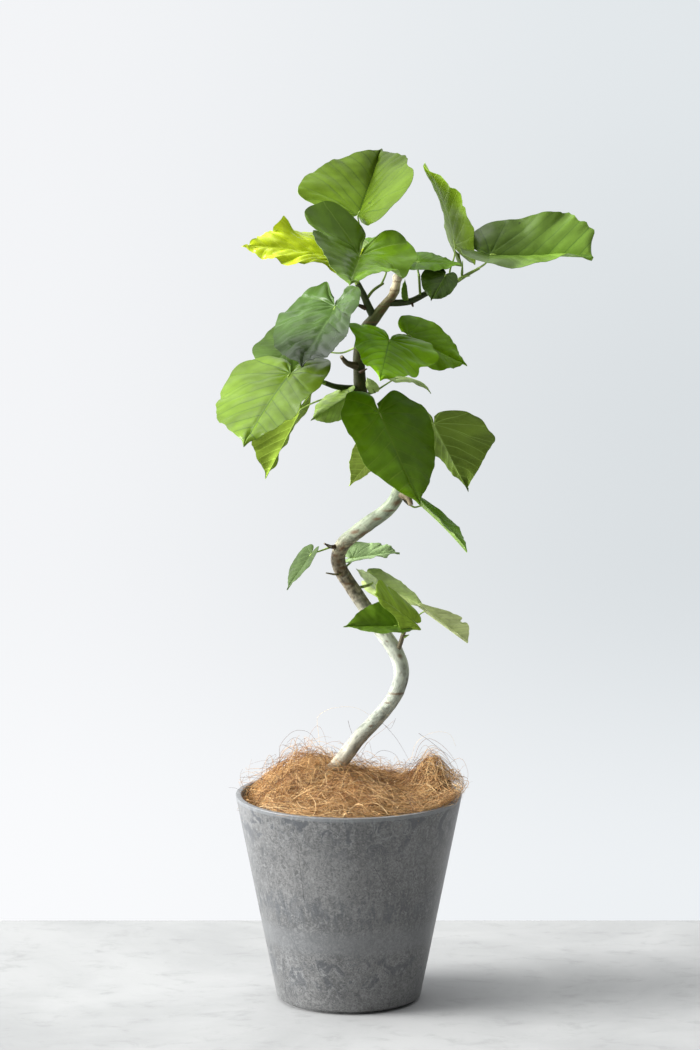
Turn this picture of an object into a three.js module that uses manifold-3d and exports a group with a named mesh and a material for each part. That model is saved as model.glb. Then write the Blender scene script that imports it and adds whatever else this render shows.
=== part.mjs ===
import * as THREE from 'three';
import { mergeVertices } from 'three/addons/utils/BufferGeometryUtils.js';
import Module from 'manifold-3d';

// Potted umbrella-leaf fig: round tapering pot, soil, coconut-fibre mulch, winding trunk, boughs and
// masses of broad heart-shaped leaves.
// Millimetres, +Z up, origin at the centre of the pot's flat underside, front towards -Y.

const wasm = await Module();
wasm.setup();
const { Manifold, Mesh } = wasm;

// Clearance between parts that touch
const GAP = 0.3;

// Pot
const POT_HEIGHT = 259;
const RIM_RADIUS = 140;
const BASE_RADIUS = 90;
const FOOT_RADIUS = 82;
const FOOT_HEIGHT = 3.5;
const BASE_EDGE = 4;
const WALL = 7;
const POT_FLOOR = 12;
const LIP_ROUND = 2;
const POT_SIDES = 44;

// Soil and fibre mulch
const SOIL_TOP = 232;
const FIBRE_EDGE_RADIUS = 131.3;
const FIBRE_EDGE_HEIGHT = 258;
const FIBRE_OVERHANG = 12;
const FIBRE_OVERHANG_RISE = 16;
const FIBRE_SECTORS = 32;
const FIBRE_RINGS = 8;
const FIBRE_LUMPS = [
  { x: -50, y: 5, height: 38, spread: 40 },
  { x: 104, y: 5, height: 42, spread: 19 },
  { x: 0, y: 40, height: 14, spread: 40 },
  { x: 10, y: -72, height: 16, spread: 40 },
  { x: -80, y: 50, height: 12, spread: 30 },
];
const FIBRE_RIPPLE = 2.2;

// Limbs
const BELOW_SOIL = 100;
const TRUNK_SIDES = 12;
const TRUNK_STEPS = 50;
const BOUGH_SIDES = 8;
const TWIG_SIDES = 5;
const STALK_RADIUS = 1.5;
const STALK_END_RADIUS = 0.8;
const STALK_SUNK = 0.06;

// Leaves
const LEAF_THICKNESS = 2;
const HALF_OUTLINE = [
  [0, 1], [0.03, 0.93], [0.11, 0.85], [0.27, 0.68], [0.35, 0.57], [0.41, 0.45], [0.49, 0.19],
  [0.49, -0.03], [0.42, -0.18], [0.29, -0.255], [0.14, -0.225], [0.035, -0.11],
];
const LOBE_LENGTH = 0.26;
const VEIN_SLOPE = 0.75;
const VEIN_CURVE = 0.3;
const BLADE_ROWS = 2;

// Trunk: centre line from inside the fibre to the pruned tip, with the radius at each place
const TRUNK = [
  { at: [-16, 0, 222], radius: 12.5 },
  { at: [-15, 0, 240], radius: 11.2 },
  { at: [-13, 0, 263], radius: 10.2 },
  { at: [-11, 0, 286], radius: 9.8 },
  { at: [-3, 0, 311], radius: 9.4 },
  { at: [12, 2, 328], radius: 9.2 },
  { at: [32, 5, 349], radius: 9.0 },
  { at: [50, 8, 370], radius: 8.8 },
  { at: [60, 10, 387], radius: 9.1 },
  { at: [65, 12, 411], radius: 9.3 },
  { at: [58, 13, 434], radius: 9.4 },
  { at: [42, 16, 458], radius: 9.2 },
  { at: [19, 19, 491], radius: 8.8 },
  { at: [4, 20, 514], radius: 8.5 },
  { at: [-11, 18, 539], radius: 8.6 },
  { at: [-13, 15, 554], radius: 8.8 },
  { at: [-7, 8, 570], radius: 8.9 },
  { at: [8, 0, 585], radius: 9.0 },
  { at: [26, -8, 600], radius: 9.2 },
  { at: [44, -14, 614], radius: 8.7 },
  { at: [57, -18, 630], radius: 8.4 },
  { at: [63, -20, 649], radius: 8.4 },
  { at: [59, -16, 676], radius: 8.2 },
  { at: [45, -8, 704], radius: 8.0 },
  { at: [28, 2, 731], radius: 7.9 },
  { at: [16, 8, 754], radius: 7.9 },
  { at: [13, 8, 781], radius: 7.4 },
  { at: [13, 6, 808], radius: 7.4 },
  { at: [19, 3, 833], radius: 7.6 },
  { at: [31, 0, 850], radius: 7.2 },
  { at: [43, -5, 866], radius: 5.9 },
  { at: [54, -10, 881], radius: 5.2 },
  { at: [60, -14, 905], radius: 4.9 },
];

// Dry stubs and knobs that are one piece with the trunk: route, root radius, tip radius
const TRUNK_STUBS = [
  { route: [[10, 4, 791], [-2, -6, 796], [-9, -14, 805]], root: 4.2, tip: 2.2 },
  { route: [[14, 2, 784], [22, -6, 789]], root: 2.4, tip: 0.8 },
  { route: [[-11, 10, 567], [-22, 2, 568], [-30, -4, 573]], root: 3.4, tip: 1.0 },
  { route: [[-8, 14, 532], [-16, 4, 533], [-28, -2, 536]], root: 1.8, tip: 0.7 },
  { route: [[60, -20, 637], [71, -30, 636], [76, -36, 626]], root: 6.0, tip: 2.6 },
];

// Boughs: one tapering limb each, with its stub
const BOUGHS = [
  {
    name: 'bough_top_left',
    route: [[31, 0, 850], [23, -2, 867], [18, -4, 879], [11, -8, 893]],
    root: 5.2,
    tip: 3.6,
    stubs: [{ route: [[20, -3, 863], [9, -12, 869]], root: 2.8, tip: 1.4 }],
  },
  {
    name: 'bough_right',
    route: [[50, -8, 870], [62, -7, 870], [76, -5, 872], [93, 0, 880], [106, 0, 886], [116, -1, 889]],
    root: 4.4,
    tip: 3.0,
    stubs: [{ route: [[76, -5, 871], [78, -12, 866]], root: 2.2, tip: 1.0 }],
  },
  {
    name: 'bough_left',
    route: [[14, 8, 763], [-6, 0, 765], [-18, -8, 768], [-29, -15, 773]],
    root: 4.2,
    tip: 3.0,
    stubs: [],
  },
];

// Masses of leaves. Each has one stem, which starts on a limb, and leaves on stalks that start on it.
// A leaf runs from the end of its stalk to its tip by `run`; `left` and `right` are its full width on
// each side of the midrib. `lift` raises the lobes, `bend` arches the midrib (both parts of its
// length) and `shoulder` widens each half towards the tip. A pull shifts the blade around one place:
// `at` and `move` are in widths away from the midrib and lengths along it, `up` is in lengths.
const MASSES = [
  {
    name: 'foliage_crown',
    stem: [[11, -8, 893], [5, -6, 906], [2, -2, 917]],
    root: 3.4,
    tip: 2.4,
    leaves: [
      {
        stalk: [[5, -6, 907], [9, 30, 930], [14, 32, 952], [11, 20, 973]],
        run: [30, 127, 71],
        left: [-146, -6, 61],
        right: [120, -78, 80],
        pulls: [
          { at: [-0.3, -0.22], move: [0.04, 0.15], reach: 0.24 },
          { at: [0.5, 0.17], move: [0.04, -0.03], reach: 0.12 },
          { at: [0.43, 0.42], move: [0, -0.05], reach: 0.07 },
        ],
      },
      {
        stalk: [[5, -6, 907], [10, -22, 914], [14, -35, 931]],
        run: [-13, -144, -19],
        left: [132, -15, 0],
        right: [-126, -15, 90],
        lift: [0.2, 0.2],
        pulls: [
          { at: [0.49, 0.14], move: [-0.12, -0.04], reach: 0.15 },
          { at: [0.49, -0.05], move: [0.06, 0], reach: 0.08 },
          { at: [0.12, -0.23], move: [-0.11, 0], reach: 0.12 },
          { at: [0.4, -0.2], move: [0.05, -0.04], reach: 0.14 },
          { at: [-0.34, -0.24], move: [0, 0.04], up: -0.05, reach: 0.18 },
          { at: [-0.49, 0.0], move: [0.04, 0], reach: 0.1 },
          { at: [-0.48, 0.27], move: [0, 0], up: -0.09, reach: 0.17 },
          { at: [-0.2, 0.75], move: [0, 0], up: 0.05, reach: 0.12 },
        ],
      },
      {
        stalk: [[3, -4, 915], [-1, 5, 918], [-5, 15, 920]],
        run: [-125, -20, 19],
        left: [-14, -60, -27],
        right: [-37, 50, 56],
        bend: 0.04,
        shoulder: [0.8, 0.4],
        pulls: [
          { at: [0.43, 0.46], move: [0.04, 0], up: 0.12, reach: 0.08 },
          { at: [0.33, 0.62], move: [-0.05, 0], up: -0.02, reach: 0.06 },
          { at: [-0.48, 0.14], move: [-0.16, 0], up: 0.04, reach: 0.18 },
          { at: [-0.44, 0.42], move: [0.1, 0], up: -0.02, reach: 0.1 },
        ],
      },
    ],
  },
  {
    name: 'foliage_crown_back',
    stem: [[21, -3, 873], [29, 4, 883], [42, 16, 891]],
    root: 2.0,
    tip: 1.6,
    leaves: [
      {
        stalk: [[40, 15, 890], [46, 42, 903], [44, 64, 916]],
        run: [-46, 100, 10],
        left: [-37, -20, 44],
        right: [60, -10, 40],
      },
    ],
  },
  {
    name: 'foliage_right',
    stem: [[116, -1, 889], [124, -3, 892], [131, -5, 896], [143, -8, 904], [158, -14, 913]],
    root: 3.0,
    tip: 1.7,
    leaves: [
      {
        stalk: [[156, -13, 912], [166, -18, 920], [171, -20, 930]],
        run: [125, 10, -4],
        left: [36, 56, 78],
        right: [-13, -125, -12],
        lift: [0, 0.1],
        shoulder: [2.4, -0.4],
        pulls: [
          { at: [-0.45, 0.32], move: [0.04, 0], reach: 0.1 },
          { at: [-0.12, 0.86], move: [0.03, 0.05], reach: 0.12 },
          { at: [0.4, -0.18], move: [0, -0.05], up: 0.04, reach: 0.2 },
          { at: [0.28, 0.75], move: [-0.05, 0], up: 0.04, reach: 0.2 },
        ],
      },
      {
        stalk: [[122, -2, 891], [123, 2, 909], [128, 8, 924], [129, 15, 938]],
        run: [-37, 30, 97],
        left: [-5, 105, -12],
        right: [52, -90, 20],
        bend: -0.04,
        pulls: [
          { at: [0.47, -0.1], move: [-0.09, 0.03], reach: 0.16 },
        ],
      },
      {
        stalk: [[125, -3, 894], [123, -20, 901], [117, -35, 907]],
        run: [-18, -20, -29],
        left: [27, -30, -20],
        right: [-52, 30, 8],
      },
    ],
    buds: [
      { route: [[131, -5, 896], [138, -12, 902], [147, -18, 904]], root: 1.8, tip: 0.8 },
      { route: [[137, -7, 900], [138, -12, 922]], root: 1.5, tip: 0.8 },
    ],
  },
  {
    name: 'foliage_right_small',
    stem: [[87, -2, 876], [86, -6, 890], [85, -8, 905]],
    root: 1.7,
    tip: 1.5,
    leaves: [
      {
        stalk: [[85, -8, 903], [83, -5, 919]],
        run: [54, -25, -2],
        left: [6, 55, 17],
        right: [-8, -50, -14],
        bend: 0.03,
      },
    ],
  },
  {
    name: 'foliage_right_bud',
    stem: [[71, -7, 872], [71, -10, 876]],
    root: 1.6,
    tip: 1.4,
    leaves: [
      {
        stalk: [[71, -10, 875], [71, -12, 878]],
        run: [-3, -6, 22],
        left: [-14, -8, 2],
        right: [2, 12, -4],
      },
    ],
  },
  {
    name: 'foliage_middle',
    stem: [[16, 4, 815], [28, -9, 810], [34, -14, 811]],
    root: 2.4,
    tip: 1.8,
    leaves: [
      {
        stalk: [[33, -14, 811], [41, -42, 817], [49, -55, 831]],
        run: [-12, -110, -34],
        left: [106, 0, -32],
        right: [-92, 25, 19],
        shoulder: [0.4, -0.3],
        pulls: [
          { at: [0.49, -0.06], move: [0.08, 0], reach: 0.08 },
          { at: [0.49, 0.2], move: [-0.06, 0], reach: 0.12 },
          { at: [0.4, 0.47], move: [-0.05, 0], reach: 0.12 },
          { at: [-0.49, 0.14], move: [0.07, 0], reach: 0.12 },
          { at: [-0.41, 0.46], move: [-0.05, -0.03], reach: 0.07 },
        ],
      },
      {
        stalk: [[32, -12, 811], [46, 0, 811], [62, 6, 815], [72, 10, 828]],
        run: [73, 10, -39],
        left: [38, 80, 34],
        right: [9, -75, -49],
      },
    ],
  },
  {
    name: 'foliage_middle_droop',
    stem: [[16, 8, 755], [26, 9, 757], [33, 10, 759]],
    root: 2.0,
    tip: 1.6,
    leaves: [
      {
        stalk: [[31, 10, 758], [46, 17, 767], [57, 20, 773]],
        run: [44, 12, -20],
        left: [0, 38, 0],
        right: [0, -36, -4],
        bend: 0.14,
      },
      {
        stalk: [[29, 9, 758], [30, 2, 762]],
        run: [-8, -10, 17],
        left: [-14, 6, -2],
        right: [14, 4, 6],
      },
    ],
  },
  {
    name: 'foliage_left',
    stem: [[-29, -15, 773], [-39, -22, 777], [-47, -28, 780]],
    root: 3.0,
    tip: 2.0,
    leaves: [
      {
        stalk: [[-46, -27, 779], [-59, -46, 781], [-70, -70, 792]],
        run: [-55, -105, -73],
        left: [91, -90, 8],
        right: [-146, 50, -12],
        bend: 0.03,
        shoulder: [0.5, 0.3],
      },
      {
        stalk: [[-37, -20, 776], [-33, -12, 801], [-23, -16, 838], [-16, -35, 869]],
        run: [-40, -100, -60],
        left: [62, -75, 29],
        right: [-125, 60, -17],
        lift: [0.03, 0.1],
        shoulder: [0.9, 0.5],
        pulls: [
          { at: [0.42, -0.16], move: [-0.04, 0.06], reach: 0.2 },
          { at: [0.13, -0.23], move: [0.02, -0.1], reach: 0.07 },
          { at: [-0.34, 0.58], move: [0.15, 0.12], reach: 0.22 },
          { at: [-0.2, 0.78], move: [0.12, 0.14], reach: 0.15 },
          { at: [-0.3, -0.25], move: [-0.12, 0.02], reach: 0.15 },
        ],
      },
      {
        stalk: [[-45, -26, 779], [-50, 0, 793], [-53, 22, 808], [-56, 35, 821]],
        run: [-54, -55, -39],
        left: [49, -40, -44],
        right: [-72, 50, 21],
        pulls: [
          { at: [0.35, 0.55], move: [0.08, 0], reach: 0.2 },
        ],
      },
    ],
  },
  {
    name: 'foliage_left_low',
    stem: [[-5, 0, 765], [-8, -4, 761], [-12, -8, 758]],
    root: 2.0,
    tip: 1.7,
    leaves: [
      {
        stalk: [[-11, -8, 758], [-41, -12, 749], [-59, -10, 739]],
        run: [-44, 45, -92],
        left: [-95, 20, -3],
        right: [12, 80, -9],
      },
      {
        stalk: [[-10, -7, 759], [-4, -14, 756], [2, -20, 759]],
        run: [-48, -45, -25],
        left: [9, 10, -47],
        right: [-39, 50, 4],
      },
    ],
  },
  {
    name: 'foliage_front',
    stem: [[18, 8, 750], [22, -10, 748], [24, -28, 748]],
    root: 3.0,
    tip: 2.2,
    leaves: [
      {
        stalk: [[24, -26, 748], [30, -62, 746], [37, -85, 746]],
        run: [49, -60, -103],
        left: [113, 75, -4],
        right: [-98, -50, 10],
        shoulder: [0, 0.9],
        pulls: [
          { at: [0.42, -0.16], move: [-0.05, 0.06], reach: 0.16 },
          { at: [0.12, -0.22], move: [-0.13, 0], reach: 0.14 },
          { at: [-0.12, -0.22], move: [0.03, 0.03], reach: 0.12 },
          { at: [-0.4, -0.15], move: [0, 0.07], reach: 0.14 },
        ],
      },
      {
        stalk: [[22, -18, 748], [44, -30, 739], [74, -30, 732], [103, -25, 725]],
        run: [45, 80, -97],
        left: [-41, 70, -13],
        right: [125, -40, 8],
        shoulder: [0, -0.5],
        pulls: [
          { at: [0.29, -0.25], move: [0, 0.07], reach: 0.25 },
          { at: [0.48, 0.24], move: [0.05, 0], reach: 0.14 },
        ],
      },
      {
        stalk: [[23, -24, 748], [31, -38, 725], [35, -40, 694]],
        run: [-35, -20, -41],
        left: [-38, -20, 41],
        right: [27, 50, -18],
      },
    ],
  },
  {
    name: 'foliage_bend_right',
    stem: [[62, -20, 642], [68, -22, 630], [74, -22, 624]],
    root: 2.2,
    tip: 1.7,
    leaves: [
      {
        stalk: [[73, -22, 625], [80, -22, 621], [89, -20, 622]],
        run: [55, -25, -53],
        left: [18, 32, 6],
        right: [6, -40, 8],
        bend: 0.02,
        shoulder: [2.4, 0],
      },
    ],
  },
  {
    name: 'foliage_bend_back',
    stem: [[-8, 18, 536], [-5, 26, 537], [-3, 32, 538]],
    root: 2.0,
    tip: 1.7,
    leaves: [
      {
        stalk: [[-4, 30, 538], [3, 42, 542], [5, 50, 545]],
        run: [58, 15, 5],
        left: [15, 45, 32],
        right: [0, -55, 2],
      },
    ],
  },
  {
    name: 'foliage_bend_left',
    stem: [[-12, 12, 562], [-18, 8, 566], [-23, 5, 567]],
    root: 2.0,
    tip: 1.7,
    leaves: [
      {
        stalk: [[-22, 5, 567], [-35, 0, 563], [-46, -5, 560]],
        run: [-30, -20, -41],
        left: [8, -45, 0],
        right: [-30, 35, -1],
      },
    ],
  },
  {
    name: 'foliage_low_shoot',
    stem: [[59, 13, 433], [64, 2, 449], [67, -8, 461], [71, -18, 472]],
    root: 3.4,
    tip: 2.2,
    leaves: [
      {
        stalk: [[70, -15, 468], [77, -32, 474], [80, -45, 483]],
        run: [-48, -25, 39],
        left: [-24, -36, -22],
        right: [-22, 25, 50],
        shoulder: [0, 2],
        pulls: [
          { at: [-0.4, 0.45], move: [-0.17, -0.08], reach: 0.27 },
          { at: [-0.38, -0.2], move: [-0.18, 0.1], reach: 0.22 },
        ],
      },
      {
        stalk: [[67, -8, 461], [63, -28, 469], [59, -45, 478]],
        run: [-66, -20, 3],
        left: [5, -60, -6],
        right: [-12, 40, 55],
      },
      {
        stalk: [[70, -17, 471], [80, -20, 482], [93, -25, 492]],
        run: [53, 15, -42],
        left: [34, 45, 11],
        right: [8, -35, 4],
        shoulder: [2.2, 0],
        pulls: [
          { at: [-0.4, -0.12], move: [-0.18, 0.1], reach: 0.28 },
        ],
      },
    ],
    buds: [{ route: [[66, -5, 456], [74, -8, 460]], root: 1.8, tip: 0.8 }],
  },
  {
    name: 'foliage_low_back',
    stem: [[8, 20, 513], [18, 20, 515], [26, 20, 517]],
    root: 2.0,
    tip: 1.7,
    leaves: [
      {
        stalk: [[25, 20, 517], [35, 22, 519]],
        run: [61, -12, -28],
        left: [13, 40, 24],
        right: [-17, 60, -36],
      },
      {
        stalk: [[25, 20, 517], [30, 16, 521]],
        run: [-21, -5, 18],
        left: [-5, 20, -14],
        right: [5, -20, 16],
      },
    ],
  },
  {
    name: 'foliage_back',
    stem: [[16, 5, 824], [18, 20, 820], [17, 32, 814]],
    root: 2.6,
    tip: 2.0,
    leaves: [
      {
        stalk: [[17, 30, 815], [38, 44, 806], [57, 70, 808]],
        run: [30, 100, -22],
        left: [25, 40, 22],
        right: [14, -30, -13],
      },
      {
        stalk: [[17, 28, 816], [-8, 44, 802], [-38, 70, 802]],
        run: [-36, 95, -15],
        left: [-25, 30, -35],
        right: [12, 20, 47],
      },
    ],
  },
  {
    name: 'foliage_back_low',
    stem: [[36, -2, 718], [42, 14, 708], [48, 25, 700]],
    root: 2.2,
    tip: 1.8,
    leaves: [
      {
        stalk: [[47, 24, 701], [54, 45, 688], [53, 60, 691]],
        run: [-9, 105, -31],
        left: [-86, 10, 11],
        right: [86, 10, 11],
      },
    ],
  },
];

const COLORS = {
  pot: 0x6c6f70,
  soil: 0x2e2620,
  fibre: 0xa0713a,
  bark: 0x8d8a76,
  young_bark: 0x5a6b3c,
  leaf: 0x4f7a24,
};

const vector = (a) => new THREE.Vector3(a[0], a[1], a[2]);
const clamp = THREE.MathUtils.clamp;

// A closed body from a list of vectors and a list of triangles
function solid(points, triangles) {
  const vertProperties = new Float32Array(points.flatMap((p) => [p.x, p.y, p.z]));
  const triVerts = new Uint32Array(triangles.flat());
  return new Manifold(new Mesh({ numProp: 3, vertProperties, triVerts }));
}

// A solid cube of one side length about a centre
function box(side, centre) {
  const geometry = new THREE.BoxGeometry(side, side, side).translate(...centre);
  geometry.deleteAttribute('normal');
  geometry.deleteAttribute('uv');
  const merged = mergeVertices(geometry);
  const vertProperties = new Float32Array(merged.attributes.position.array);
  const triVerts = new Uint32Array(merged.index.array);
  return new Manifold(new Mesh({ numProp: 3, vertProperties, triVerts }));
}

// The geometry of a body, with plain faces
function geometryOf(body) {
  const mesh = body.getMesh();
  const geometry = new THREE.BufferGeometry();
  geometry.setAttribute('position', new THREE.BufferAttribute(new Float32Array(mesh.vertProperties), 3));
  geometry.setIndex(Array.from(mesh.triVerts));
  geometry.computeVertexNormals();
  return geometry;
}

// The largest separate piece of a body
function mainPiece(body) {
  const pieces = body.decompose();
  return pieces.reduce((best, piece) => (piece.volume() > best.volume() ? piece : best));
}

// A tapering limb along a smooth route; `radiusAt` gives the radius for a part of its length
function limb(route, radiusAt, sides, steps) {
  const curve = new THREE.CatmullRomCurve3(route.map(vector), false, 'centripetal');
  const frames = curve.computeFrenetFrames(steps, false);
  const points = [];
  const triangles = [];
  for (let i = 0; i <= steps; i += 1) {
    const centre = curve.getPointAt(i / steps);
    for (let j = 0; j < sides; j += 1) {
      const angle = (2 * Math.PI * j) / sides;
      points.push(
        centre
          .clone()
          .addScaledVector(frames.normals[i], Math.cos(angle) * radiusAt(i / steps))
          .addScaledVector(frames.binormals[i], Math.sin(angle) * radiusAt(i / steps)),
      );
    }
  }
  for (let i = 0; i < steps; i += 1) {
    for (let j = 0; j < sides; j += 1) {
      const a = i * sides + j;
      const b = i * sides + ((j + 1) % sides);
      triangles.push([a, b, b + sides], [a, b + sides, a + sides]);
    }
  }
  const first = points.push(curve.getPointAt(0)) - 1;
  const last = points.push(curve.getPointAt(1)) - 1;
  for (let j = 0; j < sides; j += 1) {
    const next = (j + 1) % sides;
    triangles.push([first, next, j], [last, steps * sides + j, steps * sides + next]);
  }
  return solid(points, triangles);
}

const taper = (root, tip) => (part) => root + (tip - root) * part;

const twig = (spec, grow = 0, sides = TWIG_SIDES) =>
  limb(spec.route, taper(spec.root + grow, spec.tip + grow), sides, spec.route.length + 1);

// The trunk's radius is read off its list by length along the centre line
function trunkRadius(part) {
  const lengths = [0];
  for (let i = 1; i < TRUNK.length; i += 1) {
    lengths.push(lengths[i - 1] + vector(TRUNK[i].at).distanceTo(vector(TRUNK[i - 1].at)));
  }
  const target = part * lengths[lengths.length - 1];
  const next = Math.max(1, lengths.findIndex((length) => length >= target - 1e-6));
  const share = (target - lengths[next - 1]) / (lengths[next] - lengths[next - 1]);
  return TRUNK[next - 1].radius + (TRUNK[next].radius - TRUNK[next - 1].radius) * clamp(share, 0, 1);
}

function trunkBody(grow = 0) {
  const route = TRUNK.map((station) => station.at);
  const stem = limb(route, (part) => trunkRadius(part) + grow, TRUNK_SIDES, TRUNK_STEPS);
  return TRUNK_STUBS.reduce((body, stub) => body.add(twig(stub, grow)), stem);
}

// The trunk ends in a flat cut on the soil
function trunk() {
  const below = box(BELOW_SOIL, [0, 0, SOIL_TOP + GAP - BELOW_SOIL / 2]);
  return trunkBody().subtract(below);
}

function boughBody(bough, grow = 0) {
  const stem = twig(bough, grow, BOUGH_SIDES);
  return bough.stubs.reduce((body, stub) => body.add(twig(stub, grow)), stem);
}

// How far a leaf's pulls shift the flat place (u, v): across, along and up
function pulled(leaf, u, v) {
  const shift = { across: 0, along: 0, up: 0 };
  for (const pull of leaf.pulls ?? []) {
    const away = (u - pull.at[0]) ** 2 + (v - pull.at[1]) ** 2;
    const share = Math.exp(-away / pull.reach ** 2);
    shift.across += pull.move[0] * share;
    shift.along += pull.move[1] * share;
    shift.up += (pull.up ?? 0) * share;
  }
  return shift;
}

// A place on a leaf's middle surface: u in widths from the midrib, v in lengths from the base
function bladePoint(leaf, u, v) {
  const shift = pulled(leaf, u, v);
  const run = vector(leaf.run);
  const left = vector(leaf.left);
  const right = vector(leaf.right);
  const side = u < 0 ? 0 : 1;
  const across = side === 0 ? left : right;
  const upper = right.clone().cross(run).normalize().add(run.clone().cross(left).normalize()).normalize();
  const forward = Math.max(v, 0);
  const back = Math.max(-v, 0) / LOBE_LENGTH;
  const arch = 4 * (leaf.bend ?? 0) * forward * (1 - forward);
  const lift = (leaf.lift ?? [0, 0])[side] * back ** 1.5;
  const widen = 1 + (leaf.shoulder ?? [0, 0])[side] * forward * forward;
  return vector(leaf.stalk[leaf.stalk.length - 1])
    .addScaledVector(run, v + shift.along)
    .addScaledVector(across, (Math.abs(u) + shift.across) * widen)
    .addScaledVector(upper, (arch + lift + shift.up) * run.length());
}

// The flat grid of a leaf: rows run out from the midrib along the side veins
function bladeGrid() {
  const flat = [];
  const found = new Map();
  const index = (u, v) => {
    const key = `${u.toFixed(5)},${v.toFixed(5)}`;
    if (!found.has(key)) {
      found.set(key, flat.push([u, v]) - 1);
    }
    return found.get(key);
  };
  const place = (side, i, row) => {
    const [u, v] = HALF_OUTLINE[i];
    const start = clamp(v - VEIN_SLOPE * u - VEIN_CURVE * u * u, 0, 1);
    const share = row / BLADE_ROWS;
    return index(side * u * share + 0, start + (v - start) * share);
  };
  const triangles = [];
  const add = (a, b, c) => {
    if (a === b || b === c || a === c) {
      return;
    }
    const area = (flat[b][0] - flat[a][0]) * (flat[c][1] - flat[a][1])
      - (flat[c][0] - flat[a][0]) * (flat[b][1] - flat[a][1]);
    triangles.push(area > 0 ? [a, b, c] : [a, c, b]);
  };
  for (const side of [1, -1]) {
    for (let i = 0; i < HALF_OUTLINE.length - 1; i += 1) {
      for (let row = 0; row < BLADE_ROWS; row += 1) {
        const corners = [place(side, i, row), place(side, i, row + 1), place(side, i + 1, row + 1)];
        add(...corners);
        add(corners[0], corners[2], place(side, i + 1, row));
      }
    }
  }
  const last = HALF_OUTLINE.length - 1;
  const rim = [];
  for (let row = 0; row < BLADE_ROWS; row += 1) {
    rim.push(place(1, last, row));
  }
  for (let i = last; i > 0; i -= 1) {
    rim.push(place(1, i, BLADE_ROWS));
  }
  for (let i = 0; i <= last; i += 1) {
    rim.push(place(-1, i, BLADE_ROWS));
  }
  for (let row = BLADE_ROWS - 1; row > 0; row -= 1) {
    rim.push(place(-1, last, row));
  }
  return { flat, triangles, rim };
}

const GRID = bladeGrid();

// A blade of even thickness on that grid
function blade(leaf) {
  const middle = GRID.flat.map(([u, v]) => bladePoint(leaf, u, v));
  const normals = middle.map(() => new THREE.Vector3());
  for (const [a, b, c] of GRID.triangles) {
    const face = middle[b].clone().sub(middle[a]).cross(middle[c].clone().sub(middle[a]));
    for (const corner of [a, b, c]) {
      normals[corner].add(face);
    }
  }
  normals.forEach((normal) => normal.normalize());
  const shifted = (by) => middle.map((point, i) => point.clone().addScaledVector(normals[i], by));
  const points = [...shifted(LEAF_THICKNESS / 2), ...shifted(-LEAF_THICKNESS / 2)];
  const count = middle.length;
  const triangles = [...GRID.triangles];
  for (const [a, b, c] of GRID.triangles) {
    triangles.push([a + count, c + count, b + count]);
  }
  GRID.rim.forEach((a, i) => {
    const b = GRID.rim[(i + 1) % GRID.rim.length];
    triangles.push([a, a + count, b + count], [a, b + count, b]);
  });
  return solid(points, triangles);
}

// The stalk ends sunk in the blade's thickness, along the midrib
function stalk(leaf) {
  const sunk = bladePoint(leaf, 0, STALK_SUNK);
  const route = [...leaf.stalk, [sunk.x, sunk.y, sunk.z]];
  return twig({ route, root: STALK_RADIUS, tip: STALK_END_RADIUS });
}

function massBody(mass) {
  let body = twig({ route: mass.stem, root: mass.root, tip: mass.tip });
  for (const leaf of mass.leaves) {
    body = body.add(blade(leaf)).add(stalk(leaf));
  }
  for (const bud of mass.buds ?? []) {
    body = body.add(twig(bud));
  }
  return body;
}

// Pot: a turned body with a recessed foot, a flat underside and a rounded lip
function pot() {
  const slope = (RIM_RADIUS - BASE_RADIUS) / (POT_HEIGHT - FOOT_HEIGHT - BASE_EDGE);
  const inner = (z) => RIM_RADIUS - WALL - slope * (POT_HEIGHT - z);
  const profile = [
    [0, 0],
    [FOOT_RADIUS, 0],
    [FOOT_RADIUS, FOOT_HEIGHT],
    [BASE_RADIUS - BASE_EDGE, FOOT_HEIGHT],
    [BASE_RADIUS - 1, FOOT_HEIGHT + BASE_EDGE / 3],
    [BASE_RADIUS, FOOT_HEIGHT + BASE_EDGE],
    [RIM_RADIUS, POT_HEIGHT - LIP_ROUND],
    [RIM_RADIUS - LIP_ROUND, POT_HEIGHT],
    [RIM_RADIUS - WALL + LIP_ROUND, POT_HEIGHT],
    [inner(POT_HEIGHT - LIP_ROUND), POT_HEIGHT - LIP_ROUND],
    [inner(POT_FLOOR), POT_FLOOR],
    [0, POT_FLOOR],
  ];
  return lathe(profile);
}

function soil() {
  const slope = (RIM_RADIUS - BASE_RADIUS) / (POT_HEIGHT - FOOT_HEIGHT - BASE_EDGE);
  const inner = (z) => RIM_RADIUS - WALL - slope * (POT_HEIGHT - z) - GAP;
  return lathe([
    [0, POT_FLOOR + GAP],
    [inner(POT_FLOOR), POT_FLOOR + GAP],
    [inner(SOIL_TOP), SOIL_TOP],
    [0, SOIL_TOP],
  ]);
}

function lathe(profile) {
  const geometry = new THREE.LatheGeometry(profile.map(([r, z]) => new THREE.Vector2(r, z)), POT_SIDES);
  geometry.rotateX(Math.PI / 2);
  return geometry;
}

// Fibre: a lumpy mound that fills the top of the pot and leans out over the rim on the right
function fibreHeight(x, y) {
  const lumps = FIBRE_LUMPS.map((lump) => {
    const away = ((x - lump.x) ** 2 + (y - lump.y) ** 2) / (2 * lump.spread ** 2);
    return lump.height * Math.exp(-away);
  });
  const ripple = FIBRE_RIPPLE * Math.sin(x / 9) * Math.cos(y / 11);
  return lumps.reduce((sum, height) => sum + height, ripple);
}

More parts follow.
